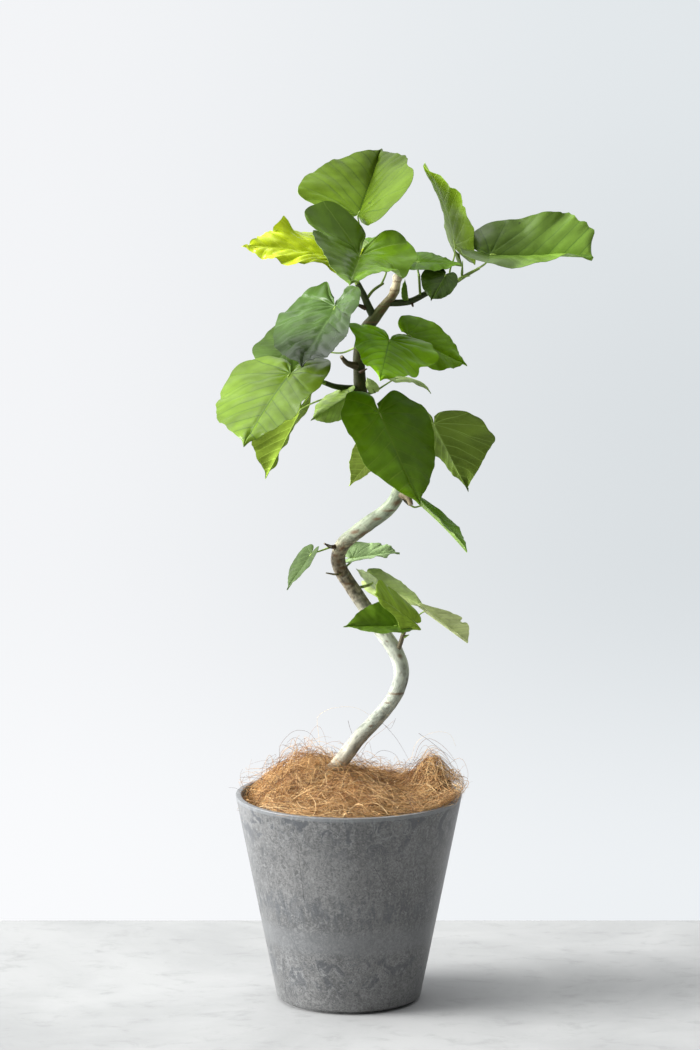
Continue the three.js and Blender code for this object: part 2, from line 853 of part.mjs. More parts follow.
function fibreBody() {
  const slope = (RIM_RADIUS - BASE_RADIUS) / (POT_HEIGHT - FOOT_HEIGHT - BASE_EDGE);
  const points = [new THREE.Vector3(0, 0, SOIL_TOP + GAP)];
  const triangles = [];
  const ringOf = (radiusAt, heightAt) => {
    for (let j = 0; j < FIBRE_SECTORS; j += 1) {
      const angle = (2 * Math.PI * j) / FIBRE_SECTORS;
      const lean = Math.max(0, Math.cos(angle)) ** 4;
      const radius = radiusAt(lean);
      const x = radius * Math.cos(angle);
      const y = radius * Math.sin(angle);
      points.push(new THREE.Vector3(x, y, heightAt(x, y, lean, radius)));
    }
  };
  ringOf(() => FIBRE_EDGE_RADIUS - slope * (FIBRE_EDGE_HEIGHT - SOIL_TOP) - GAP, () => SOIL_TOP + GAP);
  ringOf(() => FIBRE_EDGE_RADIUS, (x, y, lean) => FIBRE_EDGE_HEIGHT + 2 * lean);
  for (let ring = FIBRE_RINGS; ring >= 1; ring -= 1) {
    const share = (ring - 0.15) / FIBRE_RINGS;
    ringOf(
      (lean) => (FIBRE_EDGE_RADIUS + FIBRE_OVERHANG * lean * share ** 4) * share,
      (x, y, lean) => FIBRE_EDGE_HEIGHT + FIBRE_OVERHANG_RISE * lean * share ** 2
        + fibreHeight(x, y) * (1 - share ** 8),
    );
  }
  const top = points.push(new THREE.Vector3(0, 0, FIBRE_EDGE_HEIGHT + fibreHeight(0, 0))) - 1;
  const rings = FIBRE_RINGS + 2;
  for (let ring = 0; ring < rings - 1; ring += 1) {
    for (let j = 0; j < FIBRE_SECTORS; j += 1) {
      const a = 1 + ring * FIBRE_SECTORS + j;
      const b = 1 + ring * FIBRE_SECTORS + ((j + 1) % FIBRE_SECTORS);
      triangles.push([a, b, b + FIBRE_SECTORS], [a, b + FIBRE_SECTORS, a + FIBRE_SECTORS]);
    }
  }
  for (let j = 0; j < FIBRE_SECTORS; j += 1) {
    const next = (j + 1) % FIBRE_SECTORS;
    const inner = 1 + (rings - 1) * FIBRE_SECTORS;
    triangles.push([0, 1 + next, 1 + j], [top, inner + j, inner + next]);
  }
  return solid(points, triangles);
}

const group = new THREE.Group();
group.name = 'potted_fig';

function addPart(name, geometry, color) {
  const mesh = new THREE.Mesh(geometry, new THREE.MeshStandardMaterial({ color }));
  mesh.name = name;
  group.add(mesh);
}

addPart('pot', pot(), COLORS.pot);
addPart('soil', soil(), COLORS.soil);
addPart('fibre_mulch', geometryOf(mainPiece(fibreBody().subtract(trunkBody(GAP)))), COLORS.fibre);
addPart('trunk', geometryOf(trunk()), COLORS.bark);

let limbs = trunkBody(GAP);
for (const bough of BOUGHS) {
  addPart(bough.name, geometryOf(mainPiece(boughBody(bough).subtract(trunkBody(GAP)))), COLORS.young_bark);
  limbs = limbs.add(boughBody(bough, GAP));
}

for (const mass of MASSES) {
  addPart(mass.name, geometryOf(mainPiece(massBody(mass).subtract(limbs))), COLORS.leaf);
}

export default group;
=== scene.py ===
import math
import bpy
import numpy as np
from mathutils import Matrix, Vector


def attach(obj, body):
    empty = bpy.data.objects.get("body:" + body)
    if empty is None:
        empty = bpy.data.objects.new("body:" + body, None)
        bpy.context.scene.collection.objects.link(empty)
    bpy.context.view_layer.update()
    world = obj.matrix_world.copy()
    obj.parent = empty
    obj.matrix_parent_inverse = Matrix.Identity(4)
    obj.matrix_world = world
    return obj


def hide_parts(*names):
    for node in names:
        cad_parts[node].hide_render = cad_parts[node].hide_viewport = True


# Potted umbrella-leaf fig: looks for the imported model, in metres, +Z up, front towards -Y.
# The sizes below are in millimetres, as in the part's own source.

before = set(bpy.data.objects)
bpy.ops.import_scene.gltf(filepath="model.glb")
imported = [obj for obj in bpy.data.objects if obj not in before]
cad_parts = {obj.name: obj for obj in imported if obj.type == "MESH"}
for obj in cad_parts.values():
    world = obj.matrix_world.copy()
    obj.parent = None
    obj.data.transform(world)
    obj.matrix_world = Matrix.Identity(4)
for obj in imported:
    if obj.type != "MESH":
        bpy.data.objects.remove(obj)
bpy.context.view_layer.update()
MM = 0.001

# Camera: the photograph's viewing angle
PHOTO_LONG_SIDE = 1050
FOCAL_PIXELS = 4970
SENSOR = 36
CAMERA_PLACE = (0.0015, -6.0, 1.609)
CAMERA_PITCH = 9.59
CLIP_END = 50

# Pot
POT_HEIGHT = 259
RIM_RADIUS = 140
BASE_RADIUS = 90
FOOT_RADIUS = 82
FOOT_HEIGHT = 3.5
BASE_EDGE = 4
WALL = 7
POT_FLOOR = 12
LIP_ROUND = 1.3
POT_SIDES = 160

# Fibre mulch
FIBRE_EDGE_RADIUS = 131.3
FIBRE_EDGE_HEIGHT = 258
FIBRE_OVERHANG = 12
FIBRE_OVERHANG_RISE = 16
FIBRE_RIPPLE = 2.2
FIBRE_LUMPS = [
    dict(x=-50, y=5, height=38, spread=40),
    dict(x=104, y=5, height=42, spread=19),
    dict(x=0, y=40, height=14, spread=40),
    dict(x=10, y=-72, height=16, spread=40),
    dict(x=-80, y=50, height=12, spread=30),
]

# Leaves: half outline in widths and lengths, from the tip round to the base, and the side veins' run
HALF_OUTLINE = [
    (0, 1), (0.03, 0.93), (0.11, 0.85), (0.27, 0.68), (0.35, 0.57), (0.41, 0.45), (0.49, 0.19),
    (0.49, -0.03), (0.42, -0.18), (0.29, -0.255), (0.14, -0.225), (0.035, -0.11),
]
LOBE_LENGTH = 0.26
VEIN_SLOPE = 0.75
VEIN_CURVE = 0.3
VEIN_SPACING = 0.15
LOBE_FAN = 34
LOBE_STEP = 31
STALK_RADIUS = 1.5
STALK_END_RADIUS = 0.8
STALK_SUNK = 0.06

# Trunk: centre line from inside the fibre to the pruned tip, and the radius at each place
TRUNK = [
    ((-16, 0, 222), 12.5), ((-15, 0, 240), 11.2), ((-13, 0, 263), 10.2), ((-11, 0, 286), 9.8),
    ((-3, 0, 311), 9.4), ((12, 2, 328), 9.2), ((32, 5, 349), 9), ((50, 8, 370), 8.8),
    ((60, 10, 387), 9.1), ((65, 12, 411), 9.3), ((58, 13, 434), 9.4), ((42, 16, 458), 9.2),
    ((19, 19, 491), 8.8), ((4, 20, 514), 8.5), ((-11, 18, 539), 8.6), ((-13, 15, 554), 8.8),
    ((-7, 8, 570), 8.9), ((8, 0, 585), 9), ((26, -8, 600), 9.2), ((44, -14, 614), 8.7),
    ((57, -18, 630), 8.4), ((63, -20, 649), 8.4), ((59, -16, 676), 8.2), ((45, -8, 704), 8),
    ((28, 2, 731), 7.9), ((16, 8, 754), 7.9), ((13, 8, 781), 7.4), ((13, 6, 808), 7.4),
    ((19, 3, 833), 7.6), ((31, 0, 850), 7.2), ((43, -5, 866), 5.9), ((54, -10, 881), 5.2),
    ((60, -14, 905), 4.9),
]

# Dry stubs and knobs of the trunk
TRUNK_STUBS = [
    dict(route=[(10, 4, 791), (-2, -6, 796), (-9, -14, 805)], root=4.2, tip=2.2),
    dict(route=[(14, 2, 784), (22, -6, 789)], root=2.4, tip=0.8),
    dict(route=[(-11, 10, 567), (-22, 2, 568), (-30, -4, 573)], root=3.4, tip=1),
    dict(route=[(-8, 14, 532), (-16, 4, 533), (-28, -2, 536)], root=1.8, tip=0.7),
    dict(route=[(60, -20, 637), (71, -30, 636), (76, -36, 626)], root=6, tip=2.6),
]

# Boughs: one tapering limb each, with its stubs
BOUGHS = [
    dict(
        name="bough_top_left", root=5.2, tip=3.6,
        route=[(31, 0, 850), (23, -2, 867), (18, -4, 879), (11, -8, 893)],
        stubs=[dict(route=[(20, -3, 863), (9, -12, 869)], root=2.8, tip=1.4)],
    ),
    dict(
        name="bough_right", root=4.4, tip=3,
        route=[(50, -8, 870), (62, -7, 870), (76, -5, 872), (93, 0, 880), (106, 0, 886), (116, -1, 889)],
        stubs=[dict(route=[(76, -5, 871), (78, -12, 866)], root=2.2, tip=1)],
    ),
    dict(
        name="bough_left", root=4.2, tip=3,
        route=[(14, 8, 763), (-6, 0, 765), (-18, -8, 768), (-29, -15, 773)],
        stubs=[],
    ),
]

# Masses of leaves. A leaf runs from the end of its stalk to its tip by `run`; `left` and `right` are its
# full width on each side of the midrib. A pull shifts the blade around one place: its place (widths from
# the midrib, lengths along it), its shift (across, along, up) and its reach.
MASSES = [
    dict(
        name="foliage_crown", root=3.4, tip=2.4,
        stem=[(11, -8, 893), (5, -6, 906), (2, -2, 917)],
        leaves=[
            dict(
                stalk=[(5, -6, 907), (9, 30, 930), (14, 32, 952), (11, 20, 973)],
                run=(30, 127, 71), left=(-146, -6, 61), right=(120, -78, 80),
                pulls=[
                    (-0.3, -0.22, 0.04, 0.15, 0, 0.24), (0.5, 0.17, 0.04, -0.03, 0, 0.12),
                    (0.43, 0.42, 0, -0.05, 0, 0.07),
                ],
            ),
            dict(
                stalk=[(5, -6, 907), (10, -22, 914), (14, -35, 931)],
                run=(-13, -144, -19), left=(132, -15, 0), right=(-126, -15, 90), lift=(0.2, 0.2),
                pulls=[
                    (0.49, 0.14, -0.12, -0.04, 0, 0.15), (0.49, -0.05, 0.06, 0, 0, 0.08),
                    (0.12, -0.23, -0.11, 0, 0, 0.12), (0.4, -0.2, 0.05, -0.04, 0, 0.14),
                    (-0.34, -0.24, 0, 0.04, -0.05, 0.18), (-0.49, 0, 0.04, 0, 0, 0.1),
                    (-0.48, 0.27, 0, 0, -0.09, 0.17), (-0.2, 0.75, 0, 0, 0.05, 0.12),
                ],
            ),
            dict(
                stalk=[(3, -4, 915), (-1, 5, 918), (-5, 15, 920)],
                run=(-125, -20, 19), left=(-14, -60, -27), right=(-37, 50, 56),
                bend=0.04, shoulder=(0.8, 0.4),
                pulls=[
                    (0.43, 0.46, 0.04, 0, 0.12, 0.08), (0.33, 0.62, -0.05, 0, -0.02, 0.06),
                    (-0.48, 0.14, -0.16, 0, 0.04, 0.18), (-0.44, 0.42, 0.1, 0, -0.02, 0.1),
                ],
            ),
        ],
    ),
    dict(
        name="foliage_crown_back", root=2, tip=1.6,
        stem=[(21, -3, 873), (29, 4, 883), (42, 16, 891)],
        leaves=[
            dict(
                stalk=[(40, 15, 890), (46, 42, 903), (44, 64, 916)],
                run=(-46, 100, 10), left=(-37, -20, 44), right=(60, -10, 40),
            ),
        ],
    ),
    dict(
        name="foliage_right", root=3, tip=1.7,
        stem=[(116, -1, 889), (124, -3, 892), (131, -5, 896), (143, -8, 904), (158, -14, 913)],
        leaves=[
            dict(
                stalk=[(156, -13, 912), (166, -18, 920), (171, -20, 930)],
                run=(125, 10, -4), left=(36, 56, 78), right=(-13, -125, -12),
                lift=(0, 0.1), shoulder=(2.4, -0.4),
                pulls=[
                    (-0.45, 0.32, 0.04, 0, 0, 0.1), (-0.12, 0.86, 0.03, 0.05, 0, 0.12),
                    (0.4, -0.18, 0, -0.05, 0.04, 0.2), (0.28, 0.75, -0.05, 0, 0.04, 0.2),
                ],
            ),
            dict(
                stalk=[(122, -2, 891), (123, 2, 909), (128, 8, 924), (129, 15, 938)],
                run=(-37, 30, 97), left=(-5, 105, -12), right=(52, -90, 20), bend=-0.04,
                pulls=[(0.47, -0.1, -0.09, 0.03, 0, 0.16)],
            ),
            dict(
                stalk=[(125, -3, 894), (123, -20, 901), (117, -35, 907)],
                run=(-18, -20, -29), left=(27, -30, -20), right=(-52, 30, 8),
            ),
        ],
        buds=[
            dict(route=[(131, -5, 896), (138, -12, 902), (147, -18, 904)], root=1.8, tip=0.8),
            dict(route=[(137, -7, 900), (138, -12, 922)], root=1.5, tip=0.8),
        ],
    ),
    dict(
        name="foliage_right_small", root=1.7, tip=1.5,
        stem=[(87, -2, 876), (86, -6, 890), (85, -8, 905)],
        leaves=[
            dict(
                stalk=[(85, -8, 903), (83, -5, 919)],
                run=(54, -25, -2), left=(6, 55, 17), right=(-8, -50, -14), bend=0.03,
            ),
        ],
    ),
    dict(
        name="foliage_right_bud", root=1.6, tip=1.4,
        stem=[(71, -7, 872), (71, -10, 876)],
        leaves=[
            dict(
                stalk=[(71, -10, 875), (71, -12, 878)],
                run=(-3, -6, 22), left=(-14, -8, 2), right=(2, 12, -4),
            ),
        ],
    ),
    dict(
        name="foliage_middle", root=2.4, tip=1.8,
        stem=[(16, 4, 815), (28, -9, 810), (34, -14, 811)],
        leaves=[
            dict(
                stalk=[(33, -14, 811), (41, -42, 817), (49, -55, 831)],
                run=(-12, -110, -34), left=(106, 0, -32), right=(-92, 25, 19), shoulder=(0.4, -0.3),
                pulls=[
                    (0.49, -0.06, 0.08, 0, 0, 0.08), (0.49, 0.2, -0.06, 0, 0, 0.12),
                    (0.4, 0.47, -0.05, 0, 0, 0.12), (-0.49, 0.14, 0.07, 0, 0, 0.12),
                    (-0.41, 0.46, -0.05, -0.03, 0, 0.07),
                ],
            ),
            dict(
                stalk=[(32, -12, 811), (46, 0, 811), (62, 6, 815), (72, 10, 828)],
                run=(73, 10, -39), left=(38, 80, 34), right=(9, -75, -49),
            ),
        ],
    ),
    dict(
        name="foliage_middle_droop", root=2, tip=1.6,
        stem=[(16, 8, 755), (26, 9, 757), (33, 10, 759)],
        leaves=[
            dict(
                stalk=[(31, 10, 758), (46, 17, 767), (57, 20, 773)],
                run=(44, 12, -20), left=(0, 38, 0), right=(0, -36, -4), bend=0.14,
            ),
            dict(
                stalk=[(29, 9, 758), (30, 2, 762)],
                run=(-8, -10, 17), left=(-14, 6, -2), right=(14, 4, 6),
            ),
        ],
    ),
    dict(
        name="foliage_left", root=3, tip=2,
        stem=[(-29, -15, 773), (-39, -22, 777), (-47, -28, 780)],
        leaves=[
            dict(
                stalk=[(-46, -27, 779), (-59, -46, 781), (-70, -70, 792)],
                run=(-55, -105, -73), left=(91, -90, 8), right=(-146, 50, -12),
                bend=0.03, shoulder=(0.5, 0.3),
            ),
            dict(
                stalk=[(-37, -20, 776), (-33, -12, 801), (-23, -16, 838), (-16, -35, 869)],
                run=(-40, -100, -60), left=(62, -75, 29), right=(-125, 60, -17),
                lift=(0.03, 0.1), shoulder=(0.9, 0.5),
                pulls=[
                    (0.42, -0.16, -0.04, 0.06, 0, 0.2), (0.13, -0.23, 0.02, -0.1, 0, 0.07),
                    (-0.34, 0.58, 0.15, 0.12, 0, 0.22), (-0.2, 0.78, 0.12, 0.14, 0, 0.15),
                    (-0.3, -0.25, -0.12, 0.02, 0, 0.15),
                ],
            ),
            dict(
                stalk=[(-45, -26, 779), (-50, 0, 793), (-53, 22, 808), (-56, 35, 821)],
                run=(-54, -55, -39), left=(49, -40, -44), right=(-72, 50, 21),
                pulls=[(0.35, 0.55, 0.08, 0, 0, 0.2)],
            ),
        ],
    ),
    dict(
        name="foliage_left_low", root=2, tip=1.7,
        stem=[(-5, 0, 765), (-8, -4, 761), (-12, -8, 758)],
        leaves=[
            dict(
                stalk=[(-11, -8, 758), (-41, -12, 749), (-59, -10, 739)],
                run=(-44, 45, -92), left=(-95, 20, -3), right=(12, 80, -9),
            ),
            dict(
                stalk=[(-10, -7, 759), (-4, -14, 756), (2, -20, 759)],
                run=(-48, -45, -25), left=(9, 10, -47), right=(-39, 50, 4),
            ),
        ],
    ),
    dict(
        name="foliage_front", root=3, tip=2.2,
        stem=[(18, 8, 750), (22, -10, 748), (24, -28, 748)],
        leaves=[
            dict(
                stalk=[(24, -26, 748), (30, -62, 746), (37, -85, 746)],
                run=(49, -60, -103), left=(113, 75, -4), right=(-98, -50, 10), shoulder=(0, 0.9),
                pulls=[
                    (0.42, -0.16, -0.05, 0.06, 0, 0.16), (0.12, -0.22, -0.13, 0, 0, 0.14),
                    (-0.12, -0.22, 0.03, 0.03, 0, 0.12), (-0.4, -0.15, 0, 0.07, 0, 0.14),
                ],
            ),
            dict(
                stalk=[(22, -18, 748), (44, -30, 739), (74, -30, 732), (103, -25, 725)],
                run=(45, 80, -97), left=(-41, 70, -13), right=(125, -40, 8), shoulder=(0, -0.5),
                pulls=[
                    (0.29, -0.25, 0, 0.07, 0, 0.25), (0.48, 0.24, 0.05, 0, 0, 0.14),
                ],
            ),
            dict(
                stalk=[(23, -24, 748), (31, -38, 725), (35, -40, 694)],
                run=(-35, -20, -41), left=(-38, -20, 41), right=(27, 50, -18),
            ),
        ],
    ),
    dict(
        name="foliage_bend_right", root=2.2, tip=1.7,
        stem=[(62, -20, 642), (68, -22, 630), (74, -22, 624)],
        leaves=[
            dict(
                stalk=[(73, -22, 625), (80, -22, 621), (89, -20, 622)],
                run=(55, -25, -53), left=(18, 32, 6), right=(6, -40, 8), bend=0.02, shoulder=(2.4, 0),
            ),
        ],
    ),
    dict(
        name="foliage_bend_back", root=2, tip=1.7,
        stem=[(-8, 18, 536), (-5, 26, 537), (-3, 32, 538)],
        leaves=[
            dict(
                stalk=[(-4, 30, 538), (3, 42, 542), (5, 50, 545)],
                run=(58, 15, 5), left=(15, 45, 32), right=(0, -55, 2),
            ),
        ],
    ),
    dict(
        name="foliage_bend_left", root=2, tip=1.7,
        stem=[(-12, 12, 562), (-18, 8, 566), (-23, 5, 567)],
        leaves=[
            dict(
                stalk=[(-22, 5, 567), (-35, 0, 563), (-46, -5, 560)],
                run=(-30, -20, -41), left=(8, -45, 0), right=(-30, 35, -1),
            ),
        ],
    ),
    dict(
        name="foliage_low_shoot", root=3.4, tip=2.2,
        stem=[(59, 13, 433), (64, 2, 449), (67, -8, 461), (71, -18, 472)],
        leaves=[
            dict(
                stalk=[(70, -15, 468), (77, -32, 474), (80, -45, 483)],
                run=(-48, -25, 39), left=(-24, -36, -22), right=(-22, 25, 50), shoulder=(0, 2),
                pulls=[
                    (-0.4, 0.45, -0.17, -0.08, 0, 0.27), (-0.38, -0.2, -0.18, 0.1, 0, 0.22),
                ],
            ),
            dict(
                stalk=[(67, -8, 461), (63, -28, 469), (59, -45, 478)],
                run=(-66, -20, 3), left=(5, -60, -6), right=(-12, 40, 55),
            ),
            dict(
                stalk=[(70, -17, 471), (80, -20, 482), (93, -25, 492)],
                run=(53, 15, -42), left=(34, 45, 11), right=(8, -35, 4), shoulder=(2.2, 0),
                pulls=[(-0.4, -0.12, -0.18, 0.1, 0, 0.28)],
            ),
        ],
        buds=[
            dict(route=[(66, -5, 456), (74, -8, 460)], root=1.8, tip=0.8),
        ],
    ),
    dict(
        name="foliage_low_back", root=2, tip=1.7,
        stem=[(8, 20, 513), (18, 20, 515), (26, 20, 517)],
        leaves=[
            dict(
                stalk=[(25, 20, 517), (35, 22, 519)],
                run=(61, -12, -28), left=(13, 40, 24), right=(-17, 60, -36),
            ),
            dict(
                stalk=[(25, 20, 517), (30, 16, 521)],
                run=(-21, -5, 18), left=(-5, 20, -14), right=(5, -20, 16),
            ),
        ],
    ),
    dict(
        name="foliage_back", root=2.6, tip=2,
        stem=[(16, 5, 824), (18, 20, 820), (17, 32, 814)],
        leaves=[
            dict(
                stalk=[(17, 30, 815), (38, 44, 806), (57, 70, 808)],
                run=(30, 100, -22), left=(25, 40, 22), right=(14, -30, -13),
            ),
            dict(
                stalk=[(17, 28, 816), (-8, 44, 802), (-38, 70, 802)],
                run=(-36, 95, -15), left=(-25, 30, -35), right=(12, 20, 47),
            ),
        ],
    ),
    dict(
        name="foliage_back_low", root=2.2, tip=1.8,
        stem=[(36, -2, 718), (42, 14, 708), (48, 25, 700)],
        leaves=[
            dict(
                stalk=[(47, 24, 701), (54, 45, 688), (53, 60, 691)],
                run=(-9, 105, -31), left=(-86, 10, 11), right=(86, 10, 11),
            ),
        ],
    ),
]

# The look of each leaf, by mass and in the order of its leaves
LEAF_LOOKS = {
    "foliage_crown": ["crown_top", "crown_front", "lime"],
    "foliage_crown_back": ["mid"],
    "foliage_right": ["right_big", "upright", "shade"],
    "foliage_right_small": ["mid"],
    "foliage_right_bud": ["mid"],
    "foliage_middle": ["centre", "deep"],
    "foliage_middle_droop": ["pale", "pale"],
    "foliage_left": ["left_big", "left_face", "left_behind"],
    "foliage_left_low": ["hanging", "lit"],
    "foliage_front": ["front_big", "olive", "hanging_low"],
    "foliage_bend_right": ["sheltered"],
    "foliage_bend_back": ["bend"],
    "foliage_bend_left": ["soft"],
    "foliage_low_shoot": ["bright", "low_left", "low_right"],
    "foliage_low_back": ["pale", "silver"],
    "foliage_back": ["mid", "left_behind"],
    "foliage_back_low": ["mid"],
}

# Plain base colours of the looks: upper side, underside, veins of the upper side; then the upper side's
# roughness, its wax coat, how far its panels puff up and how far its margin waves
LOOKS = {
    "crown_top": ((0.081, 0.137, 0.005), (0.17, 0.25, 0.05), (0.036, 0.075, 0.006), 0.46, 0.15, 1.0, 1.0),
    "crown_front": ((0.066, 0.132, 0.002), (0.15, 0.22, 0.06), (0.125, 0.2, 0.025), 0.4, 0.3, 1.8, 1.0),
    "lime": ((0.4, 0.5, 0.01), (0.42, 0.5, 0.03), (0.52, 0.62, 0.05), 0.26, 0.5, 2.4, 2.0),
    "right_big": ((0.094, 0.168, 0.016), (0.15, 0.23, 0.07), (0.04, 0.09, 0.01), 0.48, 0.4, 0.6, 1.2),
    "upright": ((0.108, 0.18, 0.006), (0.17, 0.25, 0.05), (0.2, 0.3, 0.04), 0.46, 0.08, 0.9, 1.4),
    # Painted shade: the shade look is a much darker copy of the mid green, for the small leaf at the right
    "shade": ((0.016, 0.035, 0.0), (0.1, 0.15, 0.03), (0.05, 0.09, 0.008), 0.46, 0.04, 0.6, 0.9),
    "centre": ((0.148, 0.305, 0.001), (0.18, 0.28, 0.05), (0.055, 0.13, 0.003), 0.46, 0.1, 1.1, 0.9),
    "left_big": ((0.112, 0.19, 0.008), (0.18, 0.27, 0.06), (0.036, 0.08, 0.01), 0.42, 0.45, 1.1, 1.0),
    "left_face": ((0.04, 0.078, 0.014), (0.14, 0.21, 0.07), (0.066, 0.112, 0.03), 0.26, 0.3, 3.0, 1.0),
    "left_behind": ((0.056, 0.106, 0.011), (0.17, 0.25, 0.06), (0.11, 0.19, 0.04), 0.42, 0.2, 0.6, 0.8),
    "front_big": ((0.09, 0.187, 0.001), (0.15, 0.24, 0.04), (0.135, 0.225, 0.015), 0.42, 0.16, 1.0, 0.7),
    "mid": ((0.08, 0.17, 0.006), (0.17, 0.25, 0.07), (0.125, 0.22, 0.025), 0.45, 0.1, 0.6, 1.0),
    # Painted light: the next two looks are lighter copies of the mid green, for leaves that lie in shade
    "sheltered": ((0.165, 0.33, 0.03), (0.2, 0.3, 0.08), (0.2, 0.36, 0.06), 0.45, 0.06, 0.6, 0.9),
    "lit": ((0.34, 0.49, 0.09), (0.3, 0.42, 0.11), (0.12, 0.22, 0.04), 0.42, 0.5, 0.6, 1.0),
    "bend": ((0.3, 0.42, 0.19), (0.26, 0.36, 0.15), (0.15, 0.23, 0.07), 0.55, 0.0, 0.8, 1.6),
    "deep": ((0.15, 0.305, 0.0), (0.17, 0.25, 0.05), (0.14, 0.25, 0.01), 0.46, 0.05, 0.6, 1.0),
    "bright": ((0.29, 0.44, 0.04), (0.27, 0.38, 0.06), (0.12, 0.22, 0.015), 0.44, 0.1, 0.5, 0.6),
    "low_left": ((0.078, 0.146, 0.008), (0.17, 0.25, 0.07), (0.12, 0.2, 0.025), 0.44, 0.1, 0.6, 0.8),
    "low_right": ((0.62, 0.71, 0.29), (0.52, 0.6, 0.28), (0.56, 0.64, 0.3), 0.5, 0.08, 1.0, 0.8),
    "hanging": ((0.15, 0.25, 0.01), (0.215, 0.315, 0.03), (0.36, 0.46, 0.12), 0.48, 0.08, 0.8, 0.8),
    # Painted light: a lighter copy of the hanging look, for a low leaf that lies in shade
    "hanging_low": ((0.2, 0.3, 0.03), (0.38, 0.49, 0.085), (0.4, 0.5, 0.14), 0.48, 0.08, 0.7, 0.8),
    "olive": ((0.12, 0.19, 0.035), (0.108, 0.168, 0.018), (0.29, 0.39, 0.15), 0.5, 0.08, 0.7, 0.9),
    "soft": ((0.06, 0.098, 0.026), (0.2, 0.28, 0.1), (0.13, 0.2, 0.06), 0.48, 0.12, 0.6, 0.7),
    "pale": ((0.48, 0.61, 0.21), (0.38, 0.47, 0.2), (0.42, 0.52, 0.23), 0.5, 0.08, 0.7, 0.8),
    "silver": ((0.54, 0.67, 0.34), (0.54, 0.63, 0.37), (0.6, 0.69, 0.43), 0.5, 0.08, 0.5, 0.6),
}

# Painted light and shade on these looks: how much darker or lighter each is painted on the left half, on the
# right half, at the base and at the tip, after how the light and the sheen fall on that leaf
LEAF_PAINTED_LIGHT = {
    "crown_top": (1.0, 0.56, 1.8, 0.94),
    "crown_front": (1.48, 0.92, 1.0, 1.0),
    "right_big": (1.0, 1.1, 0.66, 1.7),
    "upright": (1.0, 1.0, 0.74, 1.65),
    "centre": (1.05, 1.72, 1.0, 1.0),
    "front_big": (1.05, 1.52, 1.0, 0.68),
    "left_big": (0.64, 0.94, 1.0, 1.28),
    "left_face": (0.29, 0.4, 4.6, 0.6),
}

# Small marks on three of the leaves: place in widths and lengths, size and colour
LEAF_MARKS = {
    "crown_top": [(0.125, 0.062, 0.016, (0.02, 0.028, 0.006)), (0.1, 0.085, 0.009, (0.03, 0.04, 0.008))],
    "right_big": [(-0.43, 0.165, 0.012, (0.02, 0.03, 0.006))],
    "bright": [(0.42, 0.44, 0.03, (0.62, 0.66, 0.5))],
}


# numbers and noise

# Large numbers that scatter the cells of the noise
HASH_AXES = (374761393, 668265263, 1274126177)
HASH_SEED = 974634777
HASH_TURNS = ((13, 1103515245), (11, 12820163))
HASH_MASK = 0x7FFFFFFF
HASH_LAST_SHIFT = 15
HASH_LEVELS = 0xFFFF


def joined(*arrays):
    """Arrays side by side along a new last axis."""
    return np.stack(arrays, -1)


def cells_of(rows, columns):
    """The row and the column of each cell of a grid."""
    return (part.ravel() for part in np.meshgrid(np.arange(rows), np.arange(columns), indexing="ij"))


def unit(v):
    """Vectors of length one."""
    v = np.asarray(v, float)
    return v / np.maximum(np.linalg.norm(v, axis=-1, keepdims=True), 1e-12)


def smooth(low, high, x):
    """A smooth step from 0 at low to 1 at high."""
    t = np.clip((x - low) / (high - low), 0, 1)
    return t * t * (3 - 2 * t)


def hashed(cells, seed):
    """A repeatable value from 0 to 1 for each whole-number cell."""
    n = sum(cells[..., axis] * factor for axis, factor in enumerate(HASH_AXES)) + seed * HASH_SEED
    n = n.astype(np.int64) & HASH_MASK
    for shift, factor in HASH_TURNS:
        n = ((n ^ (n >> shift)) * factor) & HASH_MASK
    return ((n ^ (n >> HASH_LAST_SHIFT)) & HASH_LEVELS) / HASH_LEVELS


def noise(points, size, seed=0):
    """Smooth noise from -1 to 1 with lumps about `size` across."""
    p = np.asarray(points, float) / size
    low = np.floor(p).astype(np.int64)
    f = p - low
    f = f * f * (3 - 2 * f)
    total = 0
    for corner in np.ndindex(2, 2, 2):
        share = 1
        for axis, high in enumerate(corner):
            share = share * (f[..., axis] if high else 1 - f[..., axis])
        total = total + share * hashed(low + np.array(corner), seed)
    return total * 2 - 1


def fractal(points, size, seed=0, octaves=4):
    """Noise in several sizes, each half as large and half as strong."""
    total = 0
    for octave in range(octaves):
        total = total + noise(points, size / 2 ** octave, seed + octave) / 2 ** octave
    return total / 2


def spline(route, steps, per_segment=24):
    """Places evenly spaced by length on the smooth curve through a route."""
    p = np.asarray(route, float)
    p = np.vstack([2 * p[0] - p[1], p, 2 * p[-1] - p[-2]])
    dense = []
    w = np.linspace(0, 1, per_segment, endpoint=False)[:, None]
    for a, b, c, d in zip(p[:-3], p[1:-2], p[2:-1], p[3:]):
        t0, t1, t2 = (max(np.linalg.norm(e), 1e-9) ** 0.5 for e in (b - a, c - b, d - c))
        m1 = ((b - a) / t0 - (c - a) / (t0 + t1) + (c - b) / t1) * t1
        m2 = ((c - b) / t1 - (d - b) / (t1 + t2) + (d - c) / t2) * t1
        dense.append(b + m1 * w + (3 * (c - b) - 2 * m1 - m2) * w ** 2 + (2 * (b - c) + m1 + m2) * w ** 3)
    dense.append(p[-2:-1])
    dense = np.vstack(dense)
    length = np.concatenate([[0], np.cumsum(np.linalg.norm(np.diff(dense, axis=0), axis=1))])
    at = np.linspace(0, length[-1], steps + 1)
    return np.stack([np.interp(at, length, dense[:, i]) for i in range(dense.shape[1])], -1)


# meshes


